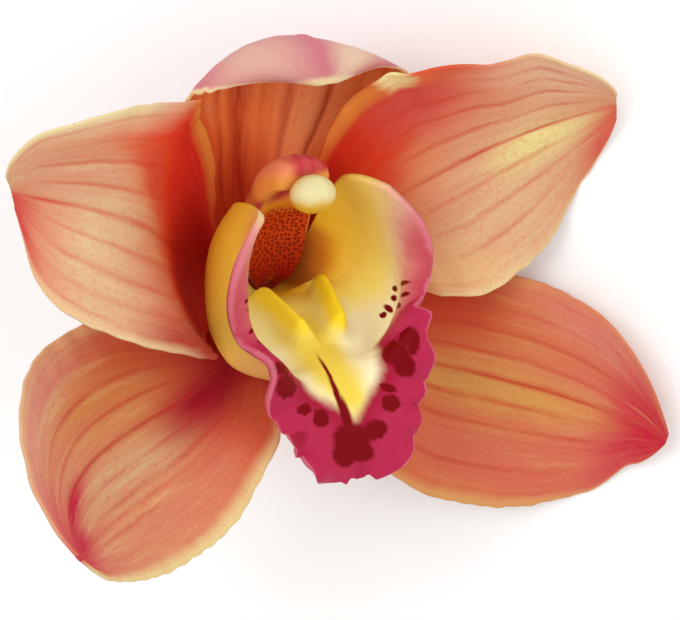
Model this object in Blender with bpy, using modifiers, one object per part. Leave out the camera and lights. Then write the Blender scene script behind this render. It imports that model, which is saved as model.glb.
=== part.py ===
"""A cut cymbidium orchid bloom, lying face up on a surface.

The bloom is drawn in its own frame, in millimetres: x to the viewer's right, y up and z forward
out of the face. At the end every sub-part is turned together into the pose in which the bloom lies
on a table, with its lowest points at height zero.
"""

from dataclasses import dataclass
from math import comb, cos, pi, radians, sin

import bmesh
import bpy
import numpy as np
from mathutils import Matrix, Vector

# Driving dimensions, in millimetres and degrees
MM = 0.001
COLLECTION = "cymbidium_orchid_bloom"
TEPAL_ROWS = 22
TEPAL_COLUMNS = 12
SEPAL_THICK = 1.1
PETAL_THICK = 1.0
TIP_CUT = 0.995
LIP_ROWS = 34
LIP_COLUMNS = 28
LIP_THICK = 1.2
LIP_LENGTH = 42.5
LIP_BASE = (1.4, -2.6)
LIP_START = 0.02
LIP_END = 0.99
KEEL_HEIGHT = 3.5
KEEL_REAR = 5.5
KEEL_FRONT = 0.8
KEEL_SPREAD = 1.5
KEEL_BAND = 3.4
KEEL_START = 0.15
KEEL_STOP = 0.43
COLUMN_LENGTH = 29.0
COLUMN_BASE = (2.5, -0.1)
COLUMN_STATIONS = (0, 0.12, 0.25, 0.5, 0.75, 1)
COLUMN_HEADING = (5, 35, 60, 46, 22, -22)
COLUMN_HALF = (2.0, 3.8, 5.2, 6.0, 6.0, 4.6)
COLUMN_BACK = (1.9, 2.6, 3.0, 3.8, 4.4, 3.4)
COLUMN_WING = (1.5, 2.0, 2.4, 2.6, 2.4, 1.6)
CAP_CENTRE = (0.0, 11.9, 26.7)
CAP_RADII = (3.75, 3.05, 3.5)
CAP_HEADING = -22
CAP_OPEN = -1.3
CAP_THICK = 0.8
POLLEN_RADII = (1.0, 1.35, 1.6)
POLLEN_APART = 1.15
OVARY_RADIUS = 2.9
STALK_RADIUS = 1.9
PEDICEL_END = (-8.0, 14.0, -28.0)
OVARY_RIB = 0.32
RECEPTACLE_RADIUS = 2.3
RECEPTACLE_FRONT = 2.0
REST_TURN = (-10.365, 42.819, 7.74)


@dataclass(frozen=True)
class Tepal:
    """One sepal or petal: where it starts, how it bends and how wide it is on its two sides."""

    base: tuple
    clock: tuple
    pitch: tuple
    roll: tuple
    length: float
    widths: tuple
    claw: float
    widest: float
    fall: float
    point: float
    cups: tuple
    thick: float
    wave: tuple = (0.0, 1.0, 0.0)
    bumps: tuple = ()


TEPALS = {
    "dorsal_sepal": Tepal(
        base=(0, 3.3, -1.4),
        clock=(73, 84.5, 86),
        pitch=(29, 10, -4, 200),
        roll=(-3.5, -14, -10.5),
        length=56,
        widths=(20.3, 21.0),
        claw=0.14,
        widest=0.59,
        fall=3.4,
        point=0.66,
        cups=((30, 77), (20, 15)),
        thick=SEPAL_THICK,
        wave=(0.5, 2.5, 0.1),
    ),
    "left_petal": Tepal(
        base=(-2.8, 0.6, 0.9),
        clock=(150, 163, 153),
        pitch=(-17, 75, 92, 18, -46),
        roll=(-33, 62, -57),
        length=63.3,
        widths=(21.9, 22.5),
        claw=0.09,
        widest=0.52,
        fall=1.7,
        point=0.5,
        cups=((60, 28), (48, 24)),
        thick=PETAL_THICK,
        wave=(0.8, 3.2, 0.3),
        bumps=((1, 0.93, 0.04, 1.2), (1, 0.66, 0.12, -1.3)),
    ),
    "right_petal": Tepal(
        base=(2.8, 0.6, 0.9),
        clock=(22, 30, -2),
        pitch=(12, 64, 42, 19, 25),
        roll=(-17, 7, 49),
        length=64.5,
        widths=(22.5, 21.9),
        claw=0.09,
        widest=0.52,
        fall=1.7,
        point=0.5,
        cups=((39, 26), (36, 2)),
        thick=PETAL_THICK,
        wave=(0.8, 3.2, 0.0),
        bumps=((0, 0.88, 0.05, 0.6), (0, 0.70, 0.09, -1.3)),
    ),
    "left_lateral_sepal": Tepal(
        base=(-3.5, -2.8, -1.4),
        clock=(248, 128, 266),
        pitch=(39, 12, 0, 38, 57),
        roll=(28, 38, -50),
        length=72,
        widths=(21.8, 18.5),
        claw=0.14,
        widest=0.515,
        fall=3.1,
        point=0.92,
        cups=((25, -6), (10, 1)),
        thick=SEPAL_THICK,
        wave=(0.6, 2.6, 0.2),
    ),
    "right_lateral_sepal": Tepal(
        base=(2.25, -1.7, -1.4),
        clock=(306, 358, 307),
        pitch=(5, 16, 25, 25, 42),
        roll=(12, -10, 61),
        length=73.5,
        widths=(18.5, 21.8),
        claw=0.14,
        widest=0.515,
        fall=3.1,
        point=0.92,
        cups=((8, 14), (6, -2)),
        thick=SEPAL_THICK,
        wave=(0.6, 2.6, 0.6),
    ),
}

# The lip at stations from its base to its tip: heading of the midline, half girth, and the heading
# across it a quarter, three fifths and all of the way from the midline to the margin
LIP_STATIONS = (0, 0.08, 0.17, 0.28, 0.40, 0.50, 0.58, 0.68, 0.80, 0.91, 1.0)
LIP_HEADING = (-11, -17, -29, -44, -44, -44, -54, -76, -93, -111, -133)
LIP_GIRTH = (2.3, 14.6, 33.6, 40.2, 36.9, 24.0, 18.0, 14.3, 11.4, 9.4, 2.0)
LIP_NEAR = (10, 18, 13, 2, -11, -21, -4, 2, 1, 4, 7)
LIP_MIDDLE = (30, 74, 93, 105, 98, 72, 59, 10, 4, 18, 28)
LIP_MARGIN = (45, 99, 118, 102, 56, 29, 19, -14, -22, -13, -3)
LIP_ACROSS = (0, 0.25, 0.6, 1)

COLOURS = {
    "dorsal_sepal": (0.62, 0.16, 0.06),
    "left_petal": (0.74, 0.42, 0.22),
    "right_petal": (0.76, 0.45, 0.25),
    "left_lateral_sepal": (0.68, 0.28, 0.16),
    "right_lateral_sepal": (0.68, 0.30, 0.16),
    "lip": (0.62, 0.14, 0.16),
    "column": (0.48, 0.17, 0.04),
    "anther_cap": (0.80, 0.74, 0.38),
    "pollinarium": (0.78, 0.52, 0.06),
    "pedicel": (0.42, 0.42, 0.14),
}


def blend(values, s):
    """Returns a smooth blend of a few control values along s, from the base at 0 to the tip at 1."""
    last = len(values) - 1
    return sum(value * comb(last, i) * s**i * (1 - s) ** (last - i) for i, value in enumerate(values))


def through(knots, values, x):
    """Returns curves that pass through the values at the knots without overshoot.

    Each row of values is one curve, read at the same row of x.
    """
    knots = np.asarray(knots, float)
    values = np.asarray(values, float)
    gap = np.diff(knots)
    rate = np.diff(values, axis=-1) / gap
    slope = np.zeros_like(values)
    left, right = rate[..., :-1], rate[..., 1:]
    first, second = 2 * gap[1:] + gap[:-1], gap[1:] + 2 * gap[:-1]
    same = left * right > 0
    safe_left = np.where(same, left, 1)
    safe_right = np.where(same, right, 1)
    slope[..., 1:-1] = np.where(same, (first + second) / (first / safe_left + second / safe_right), 0)
    for end, a, b, h, k in ((0, rate[..., 0], rate[..., 1], gap[0], gap[1]),
                            (-1, rate[..., -1], rate[..., -2], gap[-1], gap[-2])):
        edge = ((2 * h + k) * a - h * b) / (h + k)
        edge = np.where(edge * a <= 0, 0, edge)
        slope[..., end] = np.where((a * b < 0) & (np.abs(edge) > 3 * np.abs(a)), 3 * a, edge)
    cell = np.clip(np.searchsorted(knots, x, side="right") - 1, 0, len(gap) - 1)
    h = gap[cell]
    t = (x - knots[cell]) / h
    y0 = np.take_along_axis(values, cell, -1)
    y1 = np.take_along_axis(values, cell + 1, -1)
    d0 = np.take_along_axis(slope, cell, -1)
    d1 = np.take_along_axis(slope, cell + 1, -1)
    return ((1 + 2 * t) * (1 - t) ** 2 * y0 + t * (1 - t) ** 2 * h * d0
            + t * t * (3 - 2 * t) * y1 + t * t * (t - 1) * h * d1)


def running(rates, step):
    """Returns the running total of evenly spaced rates along the first axis."""
    halves = (rates[1:] + rates[:-1]) / 2 * step
    return np.concatenate([np.zeros_like(rates[:1]), np.cumsum(halves, axis=0)])


def tepal_points(tepal, s, v):
    """Returns the points of a tepal at s along it and v across it, from -1 to 1."""
    fine = np.linspace(0, 1, 401)
    clock = np.radians(blend(tepal.clock, fine))
    pitch = np.radians(blend(tepal.pitch, fine))
    roll = np.radians(blend(tepal.roll, fine))
    along = np.stack([np.cos(pitch) * np.cos(clock), np.cos(pitch) * np.sin(clock), np.sin(pitch)], -1)
    flat = np.stack([-np.sin(clock), np.cos(clock), 0 * clock], -1)
    up = np.cross(along, flat)
    across = np.cos(roll)[:, None] * flat + np.sin(roll)[:, None] * up
    normal = np.cos(roll)[:, None] * up - np.sin(roll)[:, None] * flat
    middle = np.array(tepal.base) + running(along, tepal.length / 400)
    read = lambda table: np.stack([np.interp(s, fine, table[:, i]) for i in range(3)], -1)
    rise = tepal.claw + (1 - tepal.claw) * np.sin(pi / 2 * np.clip(s / tepal.widest, 0, 1)) ** 2
    past = np.clip((s - tepal.widest) / (1 - tepal.widest), 0, 1)
    shape = rise * (1 - past**tepal.fall) ** tepal.point
    width = np.where(v > 0, tepal.widths[0], tepal.widths[1]) * shape
    for side, centre, spread, height in tepal.bumps:
        width = width + (side == (v < 0)) * height * np.exp(-(((s - centre) / spread) ** 2))
    cup = np.radians(np.where(v > 0, blend(tepal.cups[0], s), blend(tepal.cups[1], s)))
    cup = np.where(np.abs(cup) < 0.001, 0.001, cup)
    out = width * np.sin(cup * np.abs(v)) / cup
    lift = width * (1 - np.cos(cup * np.abs(v))) / cup
    size, count, phase = tepal.wave
    fade = np.sin(pi * np.clip(s, 0, 1)) ** 0.7
    lift = lift + size * fade * np.abs(v) ** 3 * np.sin(2 * pi * (count * s + phase + 0.3 * (v > 0)))
    return read(middle) + read(across) * (np.sign(v) * out)[..., None] + read(normal) * lift[..., None]


def lip_share(u, v):
    """Returns the half girth, where the keel's crest lies and how far across the lip each column lies.

    The third column from the midline follows the crest, so that the keels come out smooth.
    """
    girth = through(LIP_STATIONS, np.broadcast_to(LIP_GIRTH, u.shape + (11,)), u[:, None])[:, 0]
    closing = KEEL_REAR + (KEEL_FRONT - KEEL_REAR) * np.clip((u - KEEL_START) / (KEEL_STOP - KEEL_START), 0, 1)
    crest = np.minimum(closing + 9 * np.clip(u - KEEL_STOP, 0, 1), 0.22 * girth)
    outer = np.minimum(crest + KEEL_BAND, 0.46 * girth)
    third, sixth = 6 / LIP_COLUMNS, 12 / LIP_COLUMNS
    size = np.abs(v)
    inner_part = crest * size / third
    middle_part = crest + (outer - crest) * (size - third) / (sixth - third)
    outer_part = outer + (girth - outer) * (size - sixth) / (1 - sixth)
    place = np.where(size < third, inner_part, np.where(size < sixth, middle_part, outer_part))
    return girth, crest, place / girth


def lip_points(u, v):
    """Returns the points of the lip's outer face at u along it and v across it, from -1 to 1."""
    fine = np.linspace(0, 1, 401)
    heading = np.radians(through(LIP_STATIONS, np.array([LIP_HEADING]), fine[None, :])[0])
    midline = running(np.stack([np.sin(heading), np.cos(heading)], -1), LIP_LENGTH / 400)
    girth, _, share = lip_share(u, v)
    turns = [through(LIP_STATIONS, np.broadcast_to(row, u.shape + (11,)), u[:, None])[:, 0]
             for row in (LIP_NEAR, LIP_MIDDLE, LIP_MARGIN)]
    knots = np.stack([0 * u, *turns], -1)
    steps = np.linspace(0, 1, 41)[None, :] * share[:, None]
    turn = np.radians(through(LIP_ACROSS, knots, steps))
    size = (girth * share / 40)[None, :]
    out = running(np.cos(turn).T, size)[-1]
    rise = running(np.sin(turn).T, size)[-1]
    tilt = np.interp(u, fine, heading)
    y = LIP_BASE[1] + np.interp(u, fine, midline[:, 0]) + rise * np.cos(tilt)
    z = LIP_BASE[0] + np.interp(u, fine, midline[:, 1]) - rise * np.sin(tilt)
    return np.stack([np.sign(v) * out, y, z], -1)


def keel_weight(u, v):
    """Returns how far the lip is raised into its two keels, from 0 to 1."""
    girth, crest, share = lip_share(u, v)
    ridge = np.exp(-(((girth * share - crest) / KEEL_SPREAD) ** 2))
    start = np.clip((u - KEEL_START + 0.07) / 0.13, 0, 1)
    stop = np.clip((KEEL_STOP + 0.04 - u) / 0.14, 0, 1)
    return ridge * (3 - 2 * start) * start**2 * (3 - 2 * stop) * stop**2


def blade(rows, columns):
    """Returns a flat grid of triangles, with s from 0 to 1 and v from -1 to 1 at each point."""
    grid = bmesh.new()
    bmesh.ops.create_grid(grid, x_segments=rows, y_segments=columns, size=1)
    bmesh.ops.triangulate(grid, faces=grid.faces[:])
    places = np.array([vert.co[:] for vert in grid.verts])
    return grid, (places[:, 0] + 1) / 2, places[:, 1]


def add_object(name, grid, points, closed=False):
    """Moves the grid's points into place, in metres, and adds it as an object with its own material."""
    for vert, point in zip(grid.verts, points):
        vert.co = Vector([float(value) * MM for value in point])
    if closed:
        bmesh.ops.recalc_face_normals(grid, faces=grid.faces[:])
    mesh = bpy.data.meshes.new(name)
    grid.to_mesh(mesh)
    grid.free()
    thing = bpy.data.objects.new(name, mesh)
    material = bpy.data.materials.new(name)
    material.use_nodes = True
    shader = material.node_tree.nodes["Principled BSDF"]
    shader.inputs["Base Color"].default_value = (*COLOURS[name], 1)
    shader.inputs["Roughness"].default_value = 0.55
    mesh.materials.append(material)
    bpy.data.collections[COLLECTION].objects.link(thing)
    return thing


def thicken(thing, thick, offset):
    """Adds a Solidify modifier that gives an open blade its thickness."""
    solid = thing.modifiers.new("thickness", "SOLIDIFY")
    solid.thickness = thick * MM
    solid.offset = offset
    solid.use_even_offset = False
    return solid


def make_tepal(name, tepal):
    """One sepal or petal, as a thick curved blade."""
    grid, share, v = blade(TEPAL_ROWS, TEPAL_COLUMNS)
    s = TIP_CUT * (0.45 * share + 0.55 * np.sin(pi / 2 * share))
    thing = add_object(name, grid, tepal_points(tepal, s, v))
    thicken(thing, tepal.thick, 0)


def make_lip():
    """The lip: one folded blade, thicker along its two keels."""
    grid, share, v = blade(LIP_ROWS, LIP_COLUMNS)
    u = LIP_START + (LIP_END - LIP_START) * (0.6 * share + 0.4 * np.sin(pi / 2 * share))
    thing = add_object("lip", grid, lip_points(u, v))
    keels = thing.vertex_groups.new(name="keels")
    for index, weight in enumerate(keel_weight(u, v)):
        keels.add([index], float(weight), "REPLACE")
    total = LIP_THICK + KEEL_HEIGHT
    solid = thicken(thing, total, 1)
    solid.vertex_group = "keels"
    solid.thickness_vertex_group = LIP_THICK / total


def ball(around, rings):
    """Returns a round body, with the ring number and the angle round it at each point.

    Ring 0 and the last ring are the two end points.
    """
    body = bmesh.new()
    bmesh.ops.create_uvsphere(body, u_segments=around, v_segments=rings, radius=1)
    places = np.array([vert.co[:] for vert in body.verts])
    ring = np.rint(np.arccos(np.clip(places[:, 2], -1, 1)) / pi * rings)
    angle = np.arctan2(places[:, 1], places[:, 0])
    return body, ring, angle


def make_column():
    """The arched column: a rounded back, a hollowed under face and a narrow foot."""
    rings = 20
    body, ring, angle = ball(20, rings)
    s = np.clip((ring - 1) / (rings - 2), 0, 1)
    fine = np.linspace(0, 1, 201)
    heading = np.radians(through(COLUMN_STATIONS, np.array([COLUMN_HEADING]), fine[None, :])[0])
    midline = running(np.stack([np.sin(heading), np.cos(heading)], -1), COLUMN_LENGTH / 200)
    half, back, wing = [through(COLUMN_STATIONS, np.broadcast_to(row, s.shape + (6,)), s[:, None])[:, 0]
                        for row in (COLUMN_HALF, COLUMN_BACK, COLUMN_WING)]
    close = np.where((ring == 0) | (ring == rings), 0, np.where((ring == 1) | (ring == rings - 1), 0.86, 1))
    across = np.cos(angle)
    under = wing * np.sqrt(np.clip(1 - across**6, 0, 1)) * (0.25 + 0.75 * across**2)
    x = half * close * across
    n = close * np.where(angle >= 0, back * np.sin(angle), -under)
    tilt = np.interp(s, fine, heading)
    extra = np.where(ring == 0, -0.15, np.where(ring == rings, 0.3, 0))
    y = COLUMN_BASE[1] + np.interp(s, fine, midline[:, 0]) + n * np.cos(tilt) + extra * np.sin(tilt)
    z = COLUMN_BASE[0] + np.interp(s, fine, midline[:, 1]) - n * np.sin(tilt) + extra * np.cos(tilt)
    bmesh.ops.triangulate(body, faces=body.faces[:])
    add_object("column", body, np.stack([x, y, z], -1), closed=True)


def cap_frame():
    """Returns the turn from the cap's own axes, with z along its heading, to the bloom's."""
    forward = Vector((0, sin(radians(CAP_HEADING)), cos(radians(CAP_HEADING))))
    side = Vector((1, 0, 0))
    return Matrix((side, forward.cross(side), forward)).transposed()


def make_cap():
    """The cap: a domed helmet, open at the back where it sits on the column's end."""
    body = bmesh.new()
    bmesh.ops.create_uvsphere(body, u_segments=20, v_segments=14, radius=1)
    low = CAP_OPEN / CAP_RADII[2]
    bmesh.ops.bisect_plane(body, geom=body.verts[:] + body.edges[:] + body.faces[:], dist=0.0001,
                           plane_co=(0, 0, low), plane_no=(0, 0, 1), clear_inner=True)
    bmesh.ops.triangulate(body, faces=body.faces[:])
    places = np.array([vert.co[:] for vert in body.verts]) * CAP_RADII
    turn = np.array(cap_frame())
    cap = add_object("anther_cap", body, places @ turn.T + CAP_CENTRE)
    thicken(cap, CAP_THICK, -1)


def make_pollinarium():
    """The two pollen masses side by side under the cap, joined as one body."""
    body, ring, angle = ball(14, 10)
    places = np.array([vert.co[:] for vert in body.verts])
    side = np.sign(np.round(places[:, 0], 4))
    waist = 1 - 0.28 * np.exp(-((places[:, 0] / 0.28) ** 2))
    x = places[:, 0] * POLLEN_RADII[0] + side * POLLEN_APART * np.abs(places[:, 0]) ** 0.6
    y = places[:, 1] * POLLEN_RADII[1] * waist
    z = places[:, 2] * POLLEN_RADII[2] * waist + 0.35
    bmesh.ops.triangulate(body, faces=body.faces[:])
    turn = np.array(cap_frame())
    add_object("pollinarium", body, np.stack([x, y, z], -1) @ turn.T + CAP_CENTRE, closed=True)


def make_pedicel():
    """The receptacle, the ribbed ovary behind it and the curved stalk down to its flat cut end."""
    rings = 22
    body, ring, angle = ball(24, rings)
    depth = np.clip((ring - 1) / (rings - 2), 0, 1)
    knots = (0, 0.05, 0.12, 0.30, 0.58, 0.72, 1)
    radii = (RECEPTACLE_RADIUS * 0.9, RECEPTACLE_RADIUS, RECEPTACLE_RADIUS, OVARY_RADIUS,
             OVARY_RADIUS * 0.92, STALK_RADIUS, STALK_RADIUS)
    radius = through(knots, np.broadcast_to(radii, depth.shape + (7,)), depth[:, None])[:, 0]
    ribbed = np.exp(-(((depth - 0.38) / 0.2) ** 2))
    radius = radius + OVARY_RIB * ribbed * (np.cos(3 * angle) + 0.5 * np.cos(6 * angle))
    radius = np.where((ring == 0) | (ring == rings), 0, radius)
    end = np.array(PEDICEL_END)
    fall = RECEPTACLE_FRONT - end[2]
    centre = np.stack([end[0] * depth**2, end[1] * depth**2, RECEPTACLE_FRONT - fall * depth], -1)
    along = np.stack([2 * end[0] * depth, 2 * end[1] * depth, -fall + 0 * depth], -1)
    along /= np.linalg.norm(along, axis=-1, keepdims=True)
    side = np.cross(along, (0, 1, 0))
    side /= np.linalg.norm(side, axis=-1, keepdims=True)
    up = np.cross(side, along)
    points = centre + radius[:, None] * (np.cos(angle)[:, None] * side + np.sin(angle)[:, None] * up)
    bmesh.ops.triangulate(body, faces=body.faces[:])
    add_object("pedicel", body, points, closed=True)


def lay_down():
    """Turns the bloom onto the three points it rests on, and puts its base box's centre at the origin."""
    turn = Matrix.Rotation(radians(REST_TURN[2]), 3, "Z")
    turn = turn @ Matrix.Rotation(radians(REST_TURN[1]), 3, "Y")
    turn = turn @ Matrix.Rotation(radians(REST_TURN[0]), 3, "X")
    things = bpy.data.collections[COLLECTION].objects[:]
    for thing in things:
        thing.data.transform(turn.to_4x4())
    bpy.context.view_layer.update()
    graph = bpy.context.evaluated_depsgraph_get()
    points = []
    for thing in things:
        shown = thing.evaluated_get(graph)
        made = shown.to_mesh()
        points += [vert.co.copy() for vert in made.vertices]
        shown.to_mesh_clear()
    low = [min(point[i] for point in points) for i in range(3)]
    high = [max(point[i] for point in points) for i in range(3)]
    shift = Vector((-(low[0] + high[0]) / 2, -(low[1] + high[1]) / 2, -low[2]))
    for thing in things:
        thing.data.transform(Matrix.Translation(shift))


def main():
    """Clears the scene, builds every sub-part and lays the bloom down."""
    for thing in list(bpy.data.objects):
        bpy.data.objects.remove(thing, do_unlink=True)
    collection = bpy.data.collections.new(COLLECTION)
    bpy.context.scene.collection.children.link(collection)
    for name, tepal in TEPALS.items():
        make_tepal(name, tepal)
    make_lip()
    make_column()
    make_cap()
    make_pollinarium()
    make_pedicel()
    lay_down()


main()
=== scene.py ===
"""A cut cymbidium orchid bloom lying face up on a pale table, dressed for its picture.

Every piece is drawn in the bloom's own frame, in millimetres: x to the viewer's right, y up and z
forward out of the face. The Pose class turns it into the pose in which the bloom lies.
"""

import logging
from collections.abc import Sequence
from dataclasses import dataclass, field
from enum import Enum
from functools import reduce
from math import comb, cos, pi, radians, sin
from typing import Any

import bmesh
import bpy
import numpy as np
from mathutils import Matrix, Vector


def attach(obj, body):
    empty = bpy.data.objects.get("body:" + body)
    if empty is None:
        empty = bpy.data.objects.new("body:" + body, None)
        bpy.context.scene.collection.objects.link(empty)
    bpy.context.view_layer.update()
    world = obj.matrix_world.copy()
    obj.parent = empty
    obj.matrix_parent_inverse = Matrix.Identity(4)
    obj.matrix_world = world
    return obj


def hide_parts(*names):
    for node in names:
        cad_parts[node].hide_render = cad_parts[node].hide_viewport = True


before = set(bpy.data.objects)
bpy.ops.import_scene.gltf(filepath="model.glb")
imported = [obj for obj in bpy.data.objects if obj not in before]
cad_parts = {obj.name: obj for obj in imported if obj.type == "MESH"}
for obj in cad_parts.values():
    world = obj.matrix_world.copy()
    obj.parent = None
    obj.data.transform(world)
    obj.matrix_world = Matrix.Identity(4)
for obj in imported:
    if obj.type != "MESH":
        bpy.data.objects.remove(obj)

LOG = logging.getLogger("orchid")

# Metres in a millimetre, and the model's one body
MM = 0.001
ROOT = "root"

# What a piece's points carry: where each lies on the piece, and how far it is raised into a keel
PLACE = "place"
RAISED = "raised"

# The scale that leaves the third coordinate out of a patch, and how near a cut a point counts as on it
FLAT = 1.0e6
ON_CUT = 0.0001

Array = np.ndarray
Colour = tuple[float, float, float, float]
Triple = tuple[float, float, float]


class Face(Enum):
    """The side of a blade that a finish covers."""

    FRONT = "front"
    BACK = "back"


def paint(red: float, green: float, blue: float) -> Colour:
    """Turns a colour read from 0 to 255 into the linear colour that a shader mixes.

    Args:
        red: red, from 0 to 255.
        green: green, from 0 to 255.
        blue: blue, from 0 to 255.

    Returns:
        The linear red, green and blue, with full cover.
    """
    linear = []
    for share in (red / 255, green / 255, blue / 255):
        linear.append(share / 12.92 if share <= 0.04045 else ((share + 0.055) / 1.055) ** 2.4)
    return (linear[0], linear[1], linear[2], 1.0)


# Curves that the pieces are drawn with


def blend(values: Sequence[float], s: Array) -> Array:
    """Blends a few control values smoothly along a piece.

    Args:
        values: the control values from the base to the tip.
        s: how far along the piece each point is, from 0 to 1.

    Returns:
        The blended value at each point.
    """
    last = len(values) - 1
    total = np.zeros_like(s, dtype=float)
    for i, value in enumerate(values):
        total = total + value * comb(last, i) * s**i * (1 - s) ** (last - i)
    return total


def through(knots: Sequence[float], values: Array, x: Array) -> Array:
    """Reads curves that pass through values at knots and never overshoot them.

    Args:
        knots: where the values stand.
        values: the values, one curve to a row.
        x: where each curve is read, in the same rows.

    Returns:
        The values read, in the shape of x.
    """
    knots = np.asarray(knots, float)
    values = np.asarray(values, float)
    gap = np.diff(knots)
    rate = np.diff(values, axis=-1) / gap
    slope = np.zeros_like(values)
    left, right = rate[..., :-1], rate[..., 1:]
    first, second = 2 * gap[1:] + gap[:-1], gap[1:] + 2 * gap[:-1]
    same = left * right > 0
    safe_left = np.where(same, left, 1)
    safe_right = np.where(same, right, 1)
    slope[..., 1:-1] = np.where(same, (first + second) / (first / safe_left + second / safe_right), 0)
    ends = (
        (0, rate[..., 0], rate[..., 1], gap[0], gap[1]),
        (-1, rate[..., -1], rate[..., -2], gap[-1], gap[-2]),
    )
    for end, a, b, h, k in ends:
        edge = ((2 * h + k) * a - h * b) / (h + k)
        edge = np.where(edge * a <= 0, 0, edge)
        slope[..., end] = np.where((a * b < 0) & (np.abs(edge) > 3 * np.abs(a)), 3 * a, edge)
    cell = np.clip(np.searchsorted(knots, x, side="right") - 1, 0, len(gap) - 1)
    h = gap[cell]
    t = (x - knots[cell]) / h
    y0 = np.take_along_axis(values, cell, -1)
    y1 = np.take_along_axis(values, cell + 1, -1)
    d0 = np.take_along_axis(slope, cell, -1)
    d1 = np.take_along_axis(slope, cell + 1, -1)
    low = (1 + 2 * t) * (1 - t) ** 2 * y0 + t * (1 - t) ** 2 * h * d0
    return low + t * t * (3 - 2 * t) * y1 + t * t * (t - 1) * h * d1


def along_piece(knots: Sequence[float], values: Sequence[float], x: Array) -> Array:
    """Reads one curve through values at knots.

    Args:
        knots: where the values stand.
        values: the values.
        x: where the curve is read.

    Returns:
        The value at each x.
    """
    return through(knots, np.array([values], float), np.asarray(x, float)[None, :])[0]


def running(rates: Array, step: float | Array) -> Array:
    """Adds up evenly spaced rates along the first axis.

    Args:
        rates: the rates.
        step: the distance between them.

    Returns:
        The running total, which starts at nothing.
    """
    halves = (rates[1:] + rates[:-1]) / 2 * step
    return np.concatenate([np.zeros_like(rates[:1]), np.cumsum(halves, axis=0)])


def eased(x: Array, low: float, high: float) -> Array:
    """Rises smoothly from 0 to 1 between two places.

    Args:
        x: the places to read.
        low: where the rise starts.
        high: where it ends.

    Returns:
        The rise at each place.
    """
    t = np.clip((x - low) / (high - low), 0, 1)
    return t * t * (3 - 2 * t)


def ripple(x: Array, seed: int, waves: int = 9, lowest: float = 3.0, highest: float = 17.0) -> Array:
    """Gives an uneven wavy line that is the same at every run.

    Args:
        x: the places to read.
        seed: which line it is.
        waves: how many waves are added up.
        lowest: the slowest wave, in turns over one unit of x.
        highest: the quickest wave.

    Returns:
        The line's height, mostly between -1 and 1.
    """
    dice = np.random.default_rng(seed)
    total = np.zeros_like(x, dtype=float)
    for _ in range(waves):
        turns = dice.uniform(lowest, highest)
        total = total + dice.uniform(0.4, 1) * np.sin(2 * pi * (turns * x + dice.uniform()))
    return total / np.sqrt(waves)


@dataclass(frozen=True)
class Pose:
    """How the bloom's own frame lies on the table: its turn in degrees and its shift in millimetres."""

    turn: Triple = (-10.365, 42.819, 7.74)
    shift: Triple = (-19.8517, -1.1003, 18.3978)

    def matrix(self) -> Array:
        """Works out the turn from the bloom's frame to the table's.

        Returns:
            The turn, three by three.
        """
        turn = Matrix.Identity(3)
        for angle, axis in zip(self.turn[::-1], "ZYX"):
            turn = turn @ Matrix.Rotation(radians(angle), 3, axis)
        return np.array(turn)

    def lay(self, points: Array) -> Array:
        """Lays points of the bloom's frame on the table.

        Args:
            points: millimetres in the bloom's frame, one point to a row.

        Returns:
            Metres in the table's frame.
        """
        return (points @ self.matrix().T + np.array(self.shift)) * MM


# Shader nodes as plain sums


@dataclass(frozen=True)
class Patch:
    """A soft oval of colour in a piece's own coordinates."""

    at: tuple[float, float]
    size: tuple[float, float]
    colour: Colour = (0.0, 0.0, 0.0, 1.0)
    amount: float = 1.0
    turn: float = 0.0
    soft: float = 0.8


class Value:
    """A number that varies over a surface, held as a socket, whose sums add Math nodes."""

    def __init__(self, shader: "Shader", socket: bpy.types.NodeSocket) -> None:
        """Keeps the socket and the shader that it belongs to."""
        self.shader = shader
        self.socket = socket

    def math(self, operation: str, *others: Any) -> "Value":
        """Adds a Math node with this number first.

        Args:
            operation: the Math node's operation.
            others: the other numbers.

        Returns:
            The node's result.
        """
        sockets = {i: thing for i, thing in enumerate((self, *others))}
        return self.shader.node("ShaderNodeMath", {"operation": operation}, sockets)

    def __add__(self, other: Any) -> "Value":
        """Adds."""
        return self.math("ADD", other)

    def __radd__(self, other: Any) -> "Value":
        """Adds, from the right."""
        return self.math("ADD", other)

    def __sub__(self, other: Any) -> "Value":
        """Takes away."""
        return self.math("SUBTRACT", other)

    def __rsub__(self, other: Any) -> "Value":
        """Takes this away from a number."""
        return self.math("MULTIPLY_ADD", -1.0, other)

    def __mul__(self, other: Any) -> "Value":
        """Multiplies."""
        return self.math("MULTIPLY", other)

    def __rmul__(self, other: Any) -> "Value":
        """Multiplies, from the right."""
        return self.math("MULTIPLY", other)

    def __truediv__(self, other: Any) -> "Value":
        """Divides."""
        return self.math("DIVIDE", other)

    def __rtruediv__(self, other: Any) -> "Value":
        """Divides a number by this."""
        return self.shader.node("ShaderNodeMath", {"operation": "DIVIDE"}, {0: other, 1: self})

    def __abs__(self) -> "Value":
        """Drops the sign."""
        return self.math("ABSOLUTE")

    def most(self, other: Any) -> "Value":
        """Returns the larger of two."""
        return self.math("MAXIMUM", other)

    def least(self, other: Any) -> "Value":
        """Returns the smaller of two."""
        return self.math("MINIMUM", other)

    def wave(self) -> "Value":
        """Returns the sine."""
        return self.math("SINE")

    def step(self, low: float, high: float, start: float = 0.0, end: float = 1.0) -> "Value":
        """Rises or falls smoothly between two places.

        Args:
            low: where the change starts.
            high: where it ends.
            start: the result up to low.
            end: the result from high.

        Returns:
            The eased result.
        """
        settings = {"interpolation_type": "SMOOTHSTEP"}
        sockets = {"Value": self, "From Min": low, "From Max": high, "To Min": start, "To Max": end}
        return self.shader.node("ShaderNodeMapRange", settings, sockets)


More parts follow.
